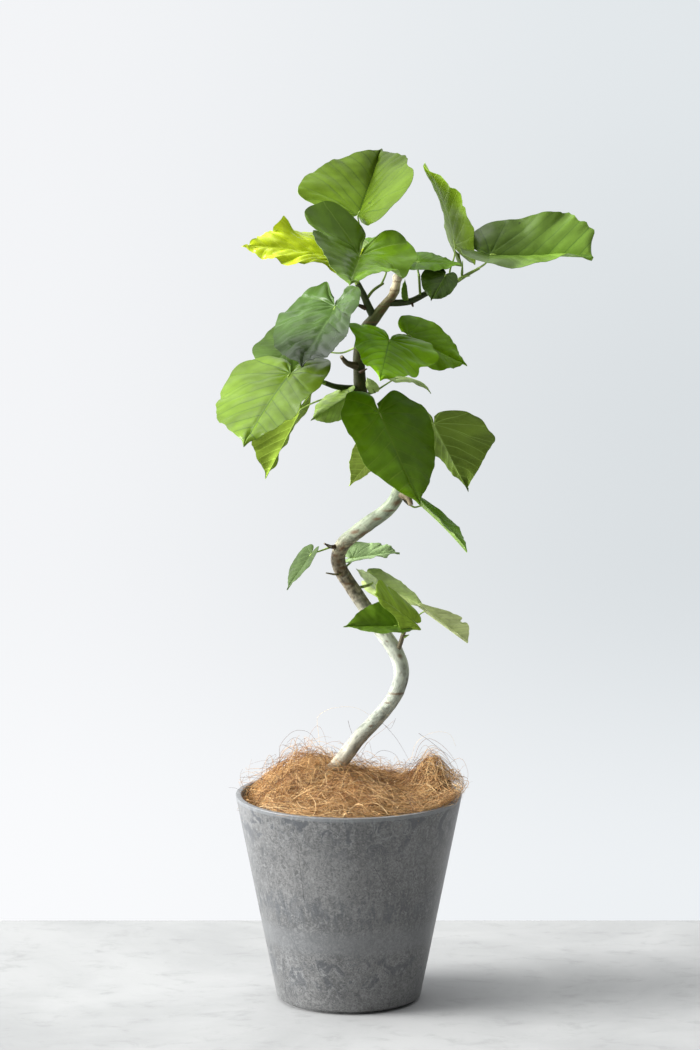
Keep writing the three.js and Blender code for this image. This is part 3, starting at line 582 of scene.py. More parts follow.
def mesh_piece(name, points, faces, materials, face_material=None, uv=None, layers=(), sharp=None):
    """A mesh object in metres from arrays in millimetres. Faces are rows of 3 or 4 corners."""
    faces = np.asarray(faces, np.int32)
    mesh = bpy.data.meshes.new(name)
    mesh.vertices.add(len(points))
    mesh.vertices.foreach_set("co", (np.asarray(points, float) * MM).astype(np.float32).ravel())
    corners = faces.shape[1]
    mesh.loops.add(faces.size)
    mesh.loops.foreach_set("vertex_index", faces.ravel())
    mesh.polygons.add(len(faces))
    mesh.polygons.foreach_set("loop_start", np.arange(0, faces.size, corners, dtype=np.int32))
    if face_material is not None:
        mesh.polygons.foreach_set("material_index", np.asarray(face_material, np.int32))
    mesh.update(calc_edges=True)
    mesh.polygons.foreach_set("use_smooth", np.ones(len(faces), bool))
    if uv is not None:
        layer = mesh.uv_layers.new(name="OFBake")
        layer.data.foreach_set("uv", np.asarray(uv, np.float32).ravel())
    for layer_name, kind, values in layers:
        stored = mesh.attributes.new(layer_name, kind, "POINT")
        field = "vector" if kind == "FLOAT_VECTOR" else "color" if kind == "FLOAT_COLOR" else "value"
        stored.data.foreach_set(field, np.asarray(values, np.float32).ravel())
    for slot in materials:
        mesh.materials.append(slot)
    if sharp is not None:
        mesh.set_sharp_from_angle(angle=math.radians(sharp))
    piece = bpy.data.objects.new(name, mesh)
    bpy.context.collection.objects.link(piece)
    return piece


def finish_piece(piece, slot, *nodes):
    """The piece rides on the part's one body and stands for its nodes; slot is not used."""
    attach(piece, "root")
    if nodes:
        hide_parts(*nodes)
    return piece


def fan(hubs, ring_starts, one, other):
    """Triangles from each hub to the two corners of every side of its ring."""
    sides = len(one)
    rims = ((ring_starts + corner % sides).ravel() for corner in (one, other))
    return joined(np.repeat(hubs, sides), *rims)


def tubes(paths, radii, sides):
    """Closed tubes along many paths at once: points, quads with capped ends, and each corner's UV."""
    count, steps = paths.shape[:2]
    ahead = unit(np.gradient(paths, axis=1))
    reach = np.abs(ahead).mean(1)
    reference = np.eye(3)[np.argmin(reach, axis=1)][:, None, :]
    side = unit(np.cross(ahead, reference))
    other = np.cross(ahead, side)
    angle = np.arange(sides) * 2 * math.pi / sides
    radii = radii if np.ndim(radii) == 3 else np.asarray(radii)[..., None]
    radii = np.broadcast_to(radii, (count, steps, sides))
    ring = side[:, :, None] * np.cos(angle)[:, None] + other[:, :, None] * np.sin(angle)[:, None]
    points = paths[:, :, None] + ring * radii[..., None]
    i, j = np.meshgrid(np.arange(steps - 1), np.arange(sides), indexing="ij")
    after = (j + 1) % sides
    quads = joined(i * sides + j, i * sides + after, (i + 1) * sides + after, (i + 1) * sides + j)
    quads = quads.reshape(-1, 4)
    start = (np.arange(count) * steps * sides)[:, None, None]
    faces = (quads[None] + start).reshape(-1, 4)
    along = joined(i, i, i + 1, i + 1).reshape(-1, 4) / (steps - 1)
    around = joined(j, j + 1, j + 1, j).reshape(-1, 4) / sides
    points = points.reshape(-1, 3)
    ends = np.concatenate([paths[:, 0], paths[:, -1]])
    hub = len(points) + np.arange(2 * count)
    j = np.arange(sides)
    first = fan(hub[:count], start[:, 0], j + 1, j)
    last = fan(hub[count:], start[:, 0] + (steps - 1) * sides, j, j + 1)
    return np.vstack([points, ends]), faces, (around, along), np.vstack([first, last])


# How much of its cell of the UV square a tube takes up
STRIP_SHARE = 0.9


def joined_tubes(name, paths, radii, sides, look, layers=()):
    """One object of many tubes, each with its own strip of the UV square."""
    points, quads, (around, along), caps = tubes(paths, radii, sides)
    count = len(paths)
    rows = int(math.ceil(math.sqrt(count)))
    cell = joined(*np.divmod(np.arange(count), rows))[:, None, None] / rows
    inner = joined(around, along)[None] * STRIP_SHARE / rows
    quad_uv = (cell + inner).reshape(-1, 4, 2)
    triangles = np.vstack([quads[:, [0, 1, 2]], quads[:, [0, 2, 3]], caps])
    cap_cell = np.repeat(np.tile(cell[:, 0, 0], (2, 1)), sides, 0)
    cap_uv = np.broadcast_to(cap_cell[:, None], (len(caps), 3, 2))
    uv = np.vstack([quad_uv[:, [0, 1, 2]], quad_uv[:, [0, 2, 3]], cap_uv])
    return mesh_piece(name, points, triangles, [look], uv=uv, layers=layers)


# shader helpers


def material(name, color, roughness, specular=0.5, coat=0.0, coat_roughness=0.3, sheen=0.0):
    """A material with its plain values set on the shader's own sockets."""
    made = bpy.data.materials.new(name)
    made.use_nodes = True
    shader = made.node_tree.nodes["Principled BSDF"]
    shader.inputs["Base Color"].default_value = (*color, 1)
    shader.inputs["Roughness"].default_value = roughness
    shader.inputs["Specular IOR Level"].default_value = specular
    shader.inputs["Coat Weight"].default_value = coat
    shader.inputs["Coat Roughness"].default_value = coat_roughness
    shader.inputs["Sheen Weight"].default_value = sheen
    return made


def node(tree, kind, settings=(), **inputs):
    """One node with its settings and inputs; an input is a value or another node's output."""
    made = tree.nodes.new(kind)
    for key, value in dict(settings).items():
        setattr(made, key, value)
    for key, value in inputs.items():
        target = made.inputs[int(key[1:])] if key[0] == "i" and key[1:].isdigit() else made.inputs[key]
        if isinstance(value, bpy.types.NodeSocket):
            tree.links.new(value, target)
        else:
            target.default_value = value
    return made


def calc(tree, operation, a, b=0.0, c=0.0):
    """The result of one sum."""
    return node(tree, "ShaderNodeMath", dict(operation=operation), i0=a, i1=b, i2=c).outputs[0]


def times(tree, a, b):
    """A product."""
    return calc(tree, "MULTIPLY", a, b)


def plus(tree, a, b):
    """A sum."""
    return calc(tree, "ADD", a, b)


def minus(tree, a, b):
    """A difference."""
    return calc(tree, "SUBTRACT", a, b)


def apart(tree, a, b):
    """How far two values lie apart."""
    return calc(tree, "ABSOLUTE", minus(tree, a, b))


def ramp(tree, value, low, high, out_low=0.0, out_high=1.0):
    """A smooth step of a value."""
    made = node(tree, "ShaderNodeMapRange", dict(interpolation_type="SMOOTHSTEP"), i0=value, i1=low, i2=high,
                i3=out_low, i4=out_high)
    return made.outputs[0]


def blend(tree, share, a, b):
    """Two colours mixed by a share from 0 to 1."""
    made = tree.nodes.new("ShaderNodeMix")
    made.data_type = "RGBA"
    for socket, value in ((made.inputs[0], share), (made.inputs[6], a), (made.inputs[7], b)):
        if isinstance(value, bpy.types.NodeSocket):
            tree.links.new(value, socket)
        else:
            socket.default_value = (*value, 1) if isinstance(value, tuple) else value
    return made.outputs[2]


def lumps(tree, where, scale, detail=4.0, rough=0.55, warp=0.0):
    """Noise from 0 to 1."""
    made = node(tree, "ShaderNodeTexNoise", Vector=where, Scale=scale, Detail=detail, Roughness=rough,
                Distortion=warp)
    return made.outputs[0]


def stretched(tree, where, scale):
    """Coordinates stretched by a vector."""
    return node(tree, "ShaderNodeMapping", Vector=where, Scale=scale).outputs[0]


def relief(tree, height, strength, distance):
    """Bump on the material's shader."""
    bump = node(tree, "ShaderNodeBump", Height=height, Strength=strength, Distance=distance)
    tree.links.new(bump.outputs[0], tree.nodes["Principled BSDF"].inputs["Normal"])


def paint(tree, color=None, roughness=None):
    """A pattern on the shader's colour or roughness."""
    shader = tree.nodes["Principled BSDF"]
    if color is not None:
        tree.links.new(color, shader.inputs["Base Color"])
    if roughness is not None:
        tree.links.new(roughness, shader.inputs["Roughness"])


def place(tree):
    """Coordinates of the surface in metres."""
    return tree.nodes.new("ShaderNodeTexCoord").outputs["Object"]


def attribute(tree, name):
    """A value stored on the mesh."""
    return node(tree, "ShaderNodeAttribute", dict(attribute_name=name))


# pot


# Edges steeper than this many degrees stay sharp
LATHE_SHARP = 50
BARK_SHARP = 70
LEAF_SHARP = 55


def lathe(name, profile, sides, materials, bands):
    """A turned closed body. `bands` gives each profile step's UV range up the unwrapped square."""
    profile = np.asarray(profile, float)
    angle = np.arange(sides) * 2 * math.pi / sides
    ring = joined(np.cos(angle), np.sin(angle))
    points = [np.column_stack([ring * r, np.full(sides, z)]) for r, z in profile[1:-1]]
    points = np.vstack([[[0, 0, profile[0][1]]], *points, [[0, 0, profile[-1][1]]]])
    rows = len(profile) - 2
    i, j = cells_of(rows - 1, sides)
    after = (j + 1) % sides
    a, b = 1 + i * sides + j, 1 + i * sides + after
    j0 = np.arange(sides)
    low_cap = joined(np.zeros(sides, int), 1 + (j0 + 1) % sides, 1 + j0)
    high = 1 + (rows - 1) * sides
    high_cap = joined(np.full(sides, len(points) - 1), high + j0, high + (j0 + 1) % sides)
    wall = [joined(a, b, b + sides), joined(a, b + sides, a + sides)]
    faces = np.vstack([*wall, low_cap, high_cap])
    u0, u1 = j / sides, (j + 1) / sides
    low_v, high_v = bands[i], bands[i + 1]
    wall_uv = [
        np.stack([joined(u0, low_v), joined(u1, low_v), joined(u1, high_v)], 1),
        np.stack([joined(u0, low_v), joined(u1, high_v), joined(u0, high_v)], 1),
    ]
    cap_uv = []
    for centre, first in ((bands[0], j0 + 1), (bands[-1], j0)):
        spot = joined((first + 0.5) / sides, np.full(sides, centre))
        cap_uv.append(np.stack([spot, spot, spot], 1))
    uv = np.vstack([*wall_uv, *cap_uv])
    return mesh_piece(name, points, faces, materials, uv=uv, sharp=LATHE_SHARP)


def rounded(start, corner, end, reach, steps=6):
    """A profile corner rounded off over a reach."""
    start, corner, end = (np.asarray(p, float) for p in (start, corner, end))
    a = corner + unit(start - corner) * reach
    b = corner + unit(end - corner) * reach
    t = np.linspace(0, 1, steps + 1)[:, None]
    return list((1 - t) ** 2 * a + 2 * t * (1 - t) * corner + t ** 2 * b)


# Turned outline of the pot: small edges and steps
FOOT_CHAMFER = 1
FOOT_CHAMFER_HEIGHT = 0.6
BASE_TUCK = 0.6
LIP_DROP = 0.2
SIDE_STEPS = 14
INSIDE_STEPS = 8


def pot_slope():
    """How fast the pot widens with height."""
    return (RIM_RADIUS - BASE_RADIUS) / (POT_HEIGHT - FOOT_HEIGHT - BASE_EDGE)


def inner_radius(z):
    """The pot's inside radius at a height."""
    return RIM_RADIUS - WALL - pot_slope() * (POT_HEIGHT - z)


def make_pot():
    """The pot as one turned body: foot, sloping side, rounded lip, inside and floor."""
    side_low = (BASE_RADIUS, FOOT_HEIGHT + BASE_EDGE)
    side_high = (RIM_RADIUS, POT_HEIGHT - LIP_DROP)
    inside_high = (inner_radius(POT_HEIGHT), POT_HEIGHT)
    inside_low = (inner_radius(POT_FLOOR), POT_FLOOR)
    base_corner = (BASE_RADIUS - BASE_TUCK, FOOT_HEIGHT)
    foot_top = (FOOT_RADIUS, FOOT_HEIGHT)
    profile = [(0, 0), (FOOT_RADIUS - FOOT_CHAMFER, 0), (FOOT_RADIUS, FOOT_CHAMFER_HEIGHT), foot_top]
    profile += rounded(foot_top, base_corner, side_low, BASE_EDGE)
    up = np.linspace(side_low, side_high, SIDE_STEPS)[1:-1]
    profile += [tuple(p) for p in up]
    profile += rounded(up[-1], side_high, inside_high, LIP_ROUND)
    profile += rounded(side_high, inside_high, inside_low, LIP_ROUND)
    down = np.linspace(inside_high, inside_low, INSIDE_STEPS)[1:]
    profile += [tuple(p) for p in down] + [(0, POT_FLOOR)]
    steps = np.linalg.norm(np.diff(np.asarray(profile)[1:-1], axis=0), axis=1)
    bands = np.concatenate([[0], np.cumsum(steps)]) / steps.sum()
    pot = lathe("pot_body", profile, POT_SIDES, [pot_material()], bands)
    return finish_piece(pot, "pot", "pot")


# Hairline scratches on the pot's front: start and end, each as sideways place and height in metres
POT_SCRATCHES = [
    ((0.030, 0.197), (0.045, 0.166)), ((0.045, 0.166), (0.063, 0.148)), ((-0.062, 0.214), (-0.054, 0.148)),
]
SCRATCH_HALF_WIDTH = 0.0007


def scratches(tree, across, height, front):
    """Thin dark lines on the front of the pot."""
    total = 0.0
    for (x0, z0), (x1, z1) in POT_SCRATCHES:
        lean = (x1 - x0) / (z1 - z0)
        line = plus(tree, times(tree, minus(tree, height, z0), lean), x0)
        away = apart(tree, across, line)
        mark = ramp(tree, away, SCRATCH_HALF_WIDTH, SCRATCH_HALF_WIDTH * 0.3)
        mark = times(tree, mark, calc(tree, "LESS_THAN", height, max(z0, z1)))
        mark = times(tree, mark, calc(tree, "GREATER_THAN", height, min(z0, z1)))
        total = calc(tree, "MAXIMUM", total, mark)
    return times(tree, total, calc(tree, "LESS_THAN", front, 0.0))


def patch(tree, share, strength, color, other):
    """A colour laid over another by a share and a strength."""
    return blend(tree, times(tree, share, strength), color, other)


def band(tree, height, rise_low, rise_high, fall_low, fall_high):
    """A band of heights that fades in and out."""
    return times(tree, ramp(tree, height, rise_low, rise_high), ramp(tree, height, fall_low, fall_high))


# Bands of the pot by height in metres: where each rises from and to, and where it falls from and to
POT_BANDS = {
    "middle": (0.100, 0.135, 0.165, 0.135),
    "smooth": (0.072, 0.086, 0.116, 0.100),
    "low": (0.020, 0.045, 0.082, 0.066),
}
NEAR_RIM = (0.185, 0.240)
LIP_EDGE = (0.2535, 0.2545)
FLECK_FADE = (0.085, 0.055, 0.15, 1.0)
SMEAR_TURN = (0, math.radians(-36), 0)
SMEAR_SCALE = (170, 170, 36)

# Noises of the pot: scale, detail, roughness and warp
POT_NOISES = {
    "clouds": (11, 5, 0.60, 0.6),
    "grain": (170, 6, 0.68, 2.2),
    "smears": (1.0, 6, 0.62, 0.7),
    "blotch": (46, 7, 0.66, 1.0),
    "edge_gaps": (60, 3),
    "flecks": (75, 5, 0.6, 2.5),
    "wisps": (80, 8, 0.72, 2.0),
    "wisp_gaps": (24, 3),
    "fine": (620, 4, 0.6),
}

# Where each noise starts to show and where it shows in full
POT_RAMPS = {
    "clouds": (0.32, 0.70),
    "pale_grain": (0.48, 0.64),
    "dark_grain": (0.50, 0.36),
    "pale_smears": (0.54, 0.70),
    "dark_smears": (0.47, 0.32),
    "middle": (0.60, 0.40),
    "blotch": (0.52, 0.60),
    "edge": (0.014, 0.003),
    "edge_gaps": (0.42, 0.58),
    "flecks": (0.61, 0.67),
    "wisps": (0.016, 0.003),
    "wisp_gaps": (0.50, 0.62),
}
BLOTCH_EDGE = 0.525
WISP_LINE = 0.5
LOW_ZONE_SHARE = 0.9
EDGE_EVERYWHERE = 0.15

# Colours of the pot: its clouds, then each pattern laid over them in turn with its strength
POT_CLOUDS = ((0.091, 0.092, 0.091), (0.137, 0.137, 0.134))
POT_LAYERS = {
    "pale_grain": (0.66, (0.240, 0.242, 0.238)),
    "dark_grain": (0.68, (0.038, 0.039, 0.040)),
    "pale_smears": (0.50, (0.200, 0.204, 0.204)),
    "dark_smears": (0.45, (0.052, 0.056, 0.060)),
    "middle": (0.55, (0.056, 0.063, 0.072)),
    "smooth": (0.50, (0.150, 0.156, 0.160)),
    "blotches": (0.75, (0.048, 0.053, 0.061)),
    "blotch_edges": (0.65, (0.270, 0.278, 0.278)),
    "flecks": (0.70, (0.042, 0.047, 0.053)),
    "wisps": (0.50, (0.270, 0.278, 0.278)),
    "scratches": (0.60, (0.024, 0.025, 0.027)),
    "lip": (0.55, (0.200, 0.210, 0.216)),
}


def pot_noises(tree, where):
    """The pot's noises by name; the smears run on a slant."""
    slant = node(tree, "ShaderNodeMapping", Vector=where, Rotation=SMEAR_TURN, Scale=SMEAR_SCALE).outputs[0]
    return {
        name: lumps(tree, slant if name == "smears" else where, *settings)
        for name, settings in POT_NOISES.items()
    }


def pot_shares(tree, noises, across, front, height):
    """How strongly each pattern of the pot shows, by name."""
    def shown(name, value):
        """A value where its pattern shows."""
        return ramp(tree, value, *POT_RAMPS[name])

    bands = {name: band(tree, height, *limits) for name, limits in POT_BANDS.items()}
    low = times(tree, bands["low"], LOW_ZONE_SHARE)
    zone = calc(tree, "MAXIMUM", ramp(tree, height, *NEAR_RIM), low)
    edge = shown("edge", apart(tree, noises["blotch"], BLOTCH_EDGE))
    edge = times(tree, edge, calc(tree, "MAXIMUM", zone, EDGE_EVERYWHERE))
    wisps = shown("wisps", apart(tree, noises["wisps"], WISP_LINE))
    return {
        "pale_grain": shown("pale_grain", noises["grain"]),
        "dark_grain": shown("dark_grain", noises["grain"]),
        "pale_smears": shown("pale_smears", noises["smears"]),
        "dark_smears": shown("dark_smears", noises["smears"]),
        "middle": times(tree, bands["middle"], shown("middle", noises["smears"])),
        "smooth": bands["smooth"],
        "blotches": times(tree, shown("blotch", noises["blotch"]), zone),
        "blotch_edges": times(tree, edge, shown("edge_gaps", noises["edge_gaps"])),
        "flecks": times(tree, shown("flecks", noises["flecks"]), ramp(tree, height, *FLECK_FADE)),
        "wisps": times(tree, wisps, shown("wisp_gaps", noises["wisp_gaps"])),
        "scratches": scratches(tree, across, height, front),
        "lip": ramp(tree, height, *LIP_EDGE),
    }


def pot_material():
    """Stone-grey resin: squiggly grain, slanting smears, blotches with pale wisps, a smooth low band."""
    made = material("pot_stone", (0.12, 0.125, 0.125), 0.5, specular=0.7)
    tree = made.node_tree
    where = place(tree)
    across, front, height = node(tree, "ShaderNodeSeparateXYZ", Vector=where).outputs
    noises = pot_noises(tree, where)
    shares = pot_shares(tree, noises, across, front, height)
    color = blend(tree, ramp(tree, noises["clouds"], *POT_RAMPS["clouds"]), *POT_CLOUDS)
    for name, (strength, other) in POT_LAYERS.items():
        color = patch(tree, shares[name], strength, color, other)
    paint(tree, color, ramp(tree, noises["grain"], 0.30, 0.75, 0.32, 0.50))
    bumps = plus(tree, times(tree, noises["fine"], 0.4), times(tree, noises["grain"], 0.7))
    relief(tree, bumps, 0.30, 0.0006)
    return made


def soil_material():
    """Moist dark potting soil."""
    made = material("soil_peat", (0.03, 0.02, 0.014), 0.95, specular=0.2)
    tree = made.node_tree
    where = place(tree)
    crumbs = node(tree, "ShaderNodeTexVoronoi", Vector=where, Scale=260.0).outputs[0]
    color = blend(tree, lumps(tree, where, 180, 5), (0.018, 0.012, 0.008), (0.07, 0.045, 0.028))
    paint(tree, color)
    relief(tree, crumbs, 0.8, 0.002)
    return made


# coconut fibre

FIBRE_CORE_DROP = 12
FIBRE_LEFT_DIP = 13
FIBRE_SETTLED = 9
FIBRE_COLORS = {
    "straw": ((0.84, 0.59, 0.28), 0.22),
    "gold": ((0.70, 0.43, 0.175), 0.26),
    "honey": ((0.61, 0.34, 0.120), 0.22),
    "amber": ((0.47, 0.245, 0.078), 0.15),
    "russet": ((0.30, 0.135, 0.042), 0.09),
    "brown": ((0.11, 0.050, 0.020), 0.06),
}
LOCK_COUNT = 380
LOCK_STRANDS = 11
LOOSE_COUNT = 2300
FIBRE_STEPS = 12
HAIR_COUNT = 1100
HAIR_STEPS = 18

# Lengths, turns and places of the strands, in millimetres and radians
LOCK_LENGTH = 46
LOCK_FAN = 0.38
LOCK_TURN = 0.012
LOCK_SPREAD = 6
STRAND_TURN = 0.007
STRAND_WANDER = 0.006
LOOSE_LENGTH = 68
LOOSE_TURN = 0.005
HAIR_LENGTH = 44
HAIR_TURN = 0.009

# Their thickness and how they rise, tilt and sway
STRAND_RADIUS = 0.18
STRAND_RADIUS_MORE = 0.27
STRAND_RISE = 13
STRAND_TILT = 6.5
STRAND_SWAY = 0.8
CLUMP_SIZE = 20
CLUMP_HEIGHT = 5
HAIR_HEIGHT = 5
HAIR_HEIGHT_MORE = 26
HAIR_LEAN = 0.22
HAIR_LEAN_MORE = 0.38
HAIR_RADIUS = 0.16
HAIR_RADIUS_MORE = 0.18
HAIR_SUNK = 3
FIBRE_SIDES = 3

# The core: rings and sectors, its low edge, its margin inside the rim and its lumps
CORE_RINGS = 46
CORE_SECTORS = 120
CORE_DEPTH = 25
CORE_MARGIN = 4
CORE_LUMP_SIZE = 14
CORE_LUMP_HEIGHT = 6

# Long stray hairs: route, radius and colour
STRAY_HAIRS = [
    ([(-85, 6, 296), (-85, 10, 316), (-77, 10, 328), (-66, 10, 336), (-50, 10, 334), (-37, 10, 318)],
     0.26, "brown"),
    ([(-34, 18, 298), (-38, 20, 336), (-39, 20, 350), (-29, 20, 359), (-8, 20, 364), (11, 20, 362),
      (28, 20, 352)], 0.16, "straw"),
    ([(-1, 0, 351), (1, 0, 343), (5, 0, 330), (8, -4, 300)], 0.24, "brown"),
    ([(8, -4, 305), (29, -10, 331), (42, -10, 341), (56, -10, 353)], 0.22, "russet"),
    ([(58, -10, 356), (51, -10, 343), (44, -8, 347)], 0.20, "brown"),
    ([(36, 30, 346), (41, 30, 342), (60, 30, 320), (76, 30, 292)], 0.22, "brown"),
    ([(86, 0, 335), (105, 0, 321), (120, 0, 307), (130, 0, 284)], 0.26, "brown"),
    ([(76, -6, 300), (84, -10, 326), (104, -10, 338), (124, -10, 336), (132, -10, 320)], 0.16, "straw"),
    ([(80, 4, 300), (88, 6, 320), (98, 6, 327), (116, 4, 318), (133, 0, 296), (137, -4, 276)],
     0.24, "russet"),
    ([(-66, 6, 300), (-56, 0, 316), (-40, -4, 318), (-24, -6, 304), (-18, -10, 288)], 0.26, "amber"),
    ([(-52, 12, 298), (-48, 14, 330), (-38, 12, 342), (-30, 8, 330), (-26, 4, 306)], 0.18, "russet"),
    ([(-128, -6, 262), (-134, -8, 282), (-131, -10, 292)], 0.18, "brown"),
    ([(-120, 6, 264), (-124, 4, 284), (-120, 2, 302)], 0.14, "russet"),
    ([(-126, -20, 262), (-138, -22, 270), (-148, -24, 272)], 0.20, "brown"),
    ([(120, -20, 268), (134, -24, 290), (142, -24, 300)], 0.20, "russet"),
    ([(118, 10, 290), (138, 6, 302), (147, 0, 286), (144, -6, 266)], 0.22, "amber"),
    ([(-20, -40, 284), (-14, -44, 300), (-4, -46, 288)], 0.30, "brown"),
    ([(14, 6, 300), (24, 10, 322), (30, 14, 300)], 0.20, "russet"),
    ([(22, 2, 296), (40, 4, 312), (58, 6, 306), (66, 8, 284)], 0.20, "brown"),
]


def overhang(x, y):
    """How far the mulch leans out over the rim: 1 at the far right, 0 on the left."""
    return np.maximum(0, x / np.maximum(np.hypot(x, y), 1)) ** 4


def mound(x, y):
    """Height of the fibre mound, by the same rule as the solid."""
    rise = FIBRE_RIPPLE * np.sin(x / 9) * np.cos(y / 11)
    for lump in FIBRE_LUMPS:
        away = ((x - lump["x"]) ** 2 + (y - lump["y"]) ** 2) / (2 * lump["spread"] ** 2)
        rise = rise + lump["height"] * np.exp(-away)
    lean = overhang(x, y)
    share = np.clip(np.hypot(x, y) / (FIBRE_EDGE_RADIUS + FIBRE_OVERHANG * lean), 0, 1)
    return FIBRE_EDGE_HEIGHT + FIBRE_OVERHANG_RISE * lean * share ** 2 + rise * (1 - share ** 8)


def sunken(x):
    """How much lower the loose mulch lies beside the rim on the left."""
    return FIBRE_LEFT_DIP * smooth(-98, -126, x)


def settled(x, y):
    """How much lower the dense strands lie on the left of the trunk, where only loose hair stands up."""
    return FIBRE_SETTLED * np.exp(-((x + 48) ** 2 + (y - 5) ** 2) / (2 * 42 ** 2))


def fibre_core():
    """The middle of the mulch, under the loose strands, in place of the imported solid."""
    rings, sectors = CORE_RINGS, CORE_SECTORS
    low_height = FIBRE_EDGE_HEIGHT - CORE_DEPTH
    edge = FIBRE_EDGE_RADIUS - CORE_MARGIN
    share = (np.arange(1, rings + 1) / rings)[:, None]
    angle = np.arange(sectors)[None] * 2 * math.pi / sectors
    x = share * edge * np.cos(angle)
    y = share * edge * np.sin(angle)
    z = mound(x, y) - FIBRE_CORE_DROP - sunken(x) - settled(x, y)
    z = z + fractal(joined(x, y, z * 0), CORE_LUMP_SIZE, 5) * CORE_LUMP_HEIGHT
    top = joined(x, y, z).reshape(-1, 3)
    low = top[-sectors:].copy()
    low[:, 2] = low_height
    low[:, :2] *= (inner_radius(low_height) - 2) / edge
    centre = [[0, 0, mound(0, 0) - FIBRE_CORE_DROP]]
    points = np.vstack([top, low, centre, [[0, 0, low_height]]])
    i, j = cells_of(rings, sectors)
    after = (j + 1) % sectors
    a, b = i * sectors + j, i * sectors + after
    wall = np.vstack([joined(a, a + sectors, b + sectors), joined(a, b + sectors, b)])
    j0 = np.arange(sectors)
    j1 = (j0 + 1) % sectors
    cap = joined(np.full(sectors, len(points) - 2), j0, j1)
    under = joined(np.full(sectors, len(points) - 1), rings * sectors + j1, rings * sectors + j0)
    faces = np.vstack([wall, cap, under])
    uv = points[:, :2] / (2.2 * FIBRE_EDGE_RADIUS) + 0.5
    made = material("fibre_packed", (0.22, 0.11, 0.04), 0.9, specular=0.2, sheen=0.2)
    tree = made.node_tree
    where = place(tree)
    threads = lumps(tree, stretched(tree, where, (90, 260, 120)), 3.0, 6, 0.7, 2.5)
    color = blend(tree, ramp(tree, threads, 0.35, 0.68), (0.070, 0.034, 0.013), (0.46, 0.25, 0.085))
    paint(tree, color)
    relief(tree, threads, 1.0, 0.003)
    core = mesh_piece("fibre_core", points, faces, [made], uv=uv[faces])
    return finish_piece(core, "fibre", "fibre_mulch")


def curl(rng, x, y, heading, total, turn, steps):
    """Curly routes seen from above: each starts at a place and heads off with its own turn."""
    count = len(x)
    step = (total / steps)[:, None]
    wander = np.cumsum(rng.normal(0, STRAND_WANDER, (count, steps)), axis=1) + turn[:, None]
    way = heading[:, None] + np.cumsum(wander * step, axis=1)
    x = x[:, None] + np.cumsum(np.cos(way) * step, axis=1)
    y = y[:, None] + np.cumsum(np.sin(way) * step, axis=1)
    return x, y


def on_mound(rng, count, reach):
    """Random places on the mound."""
    radius = reach * np.sqrt(rng.random(count))
    angle = rng.random(count) * 2 * math.pi
    return radius * np.cos(angle), radius * np.sin(angle)


def held_in(x, y, slack):
    """Strands that pass the rim are pulled in, less so on the right, where the fibre hangs over."""
    away = np.maximum(np.hypot(x, y), 1)
    limit = FIBRE_EDGE_RADIUS - 2 + (FIBRE_OVERHANG - 1) * overhang(x, y) + slack
    share = np.where(away > limit, (limit + (away - limit) * 0.10) / away, 1)
    return x * share, y * share


def lock_routes(rng):
    """Locks: bundles of strands that run much the same way."""
    x, y = on_mound(rng, LOCK_COUNT, FIBRE_EDGE_RADIUS - 4)
    repeat = lambda values: np.repeat(values, LOCK_STRANDS)
    count = LOCK_COUNT * LOCK_STRANDS
    heading = repeat(rng.random(LOCK_COUNT) * 2 * math.pi) + rng.normal(0, LOCK_FAN, count)
    total = repeat(LOCK_LENGTH * np.exp(rng.normal(0, 0.25, LOCK_COUNT))) * np.exp(rng.normal(0, 0.2, count))
    turn = repeat(rng.normal(0, LOCK_TURN, LOCK_COUNT)) + rng.normal(0, STRAND_TURN, count)
    x = repeat(x) + rng.normal(0, LOCK_SPREAD, count)
    y = repeat(y) + rng.normal(0, LOCK_SPREAD, count)
    depth = repeat(rng.random(LOCK_COUNT) ** 1.2) * 0.8 + rng.random(count) * 0.2
    return (*curl(rng, x, y, heading, total, turn, FIBRE_STEPS), depth)


def loose_routes(rng):
    """Single strands that cross the locks."""
    x, y = on_mound(rng, LOOSE_COUNT, FIBRE_EDGE_RADIUS - 6)
    total = LOOSE_LENGTH * np.exp(rng.normal(0, 0.40, LOOSE_COUNT))
    turn = rng.normal(0, LOOSE_TURN, LOOSE_COUNT)
    depth = rng.random(LOOSE_COUNT) ** 2 * 0.6
    return (*curl(rng, x, y, rng.random(LOOSE_COUNT) * 2 * math.pi, total, turn, FIBRE_STEPS), depth)


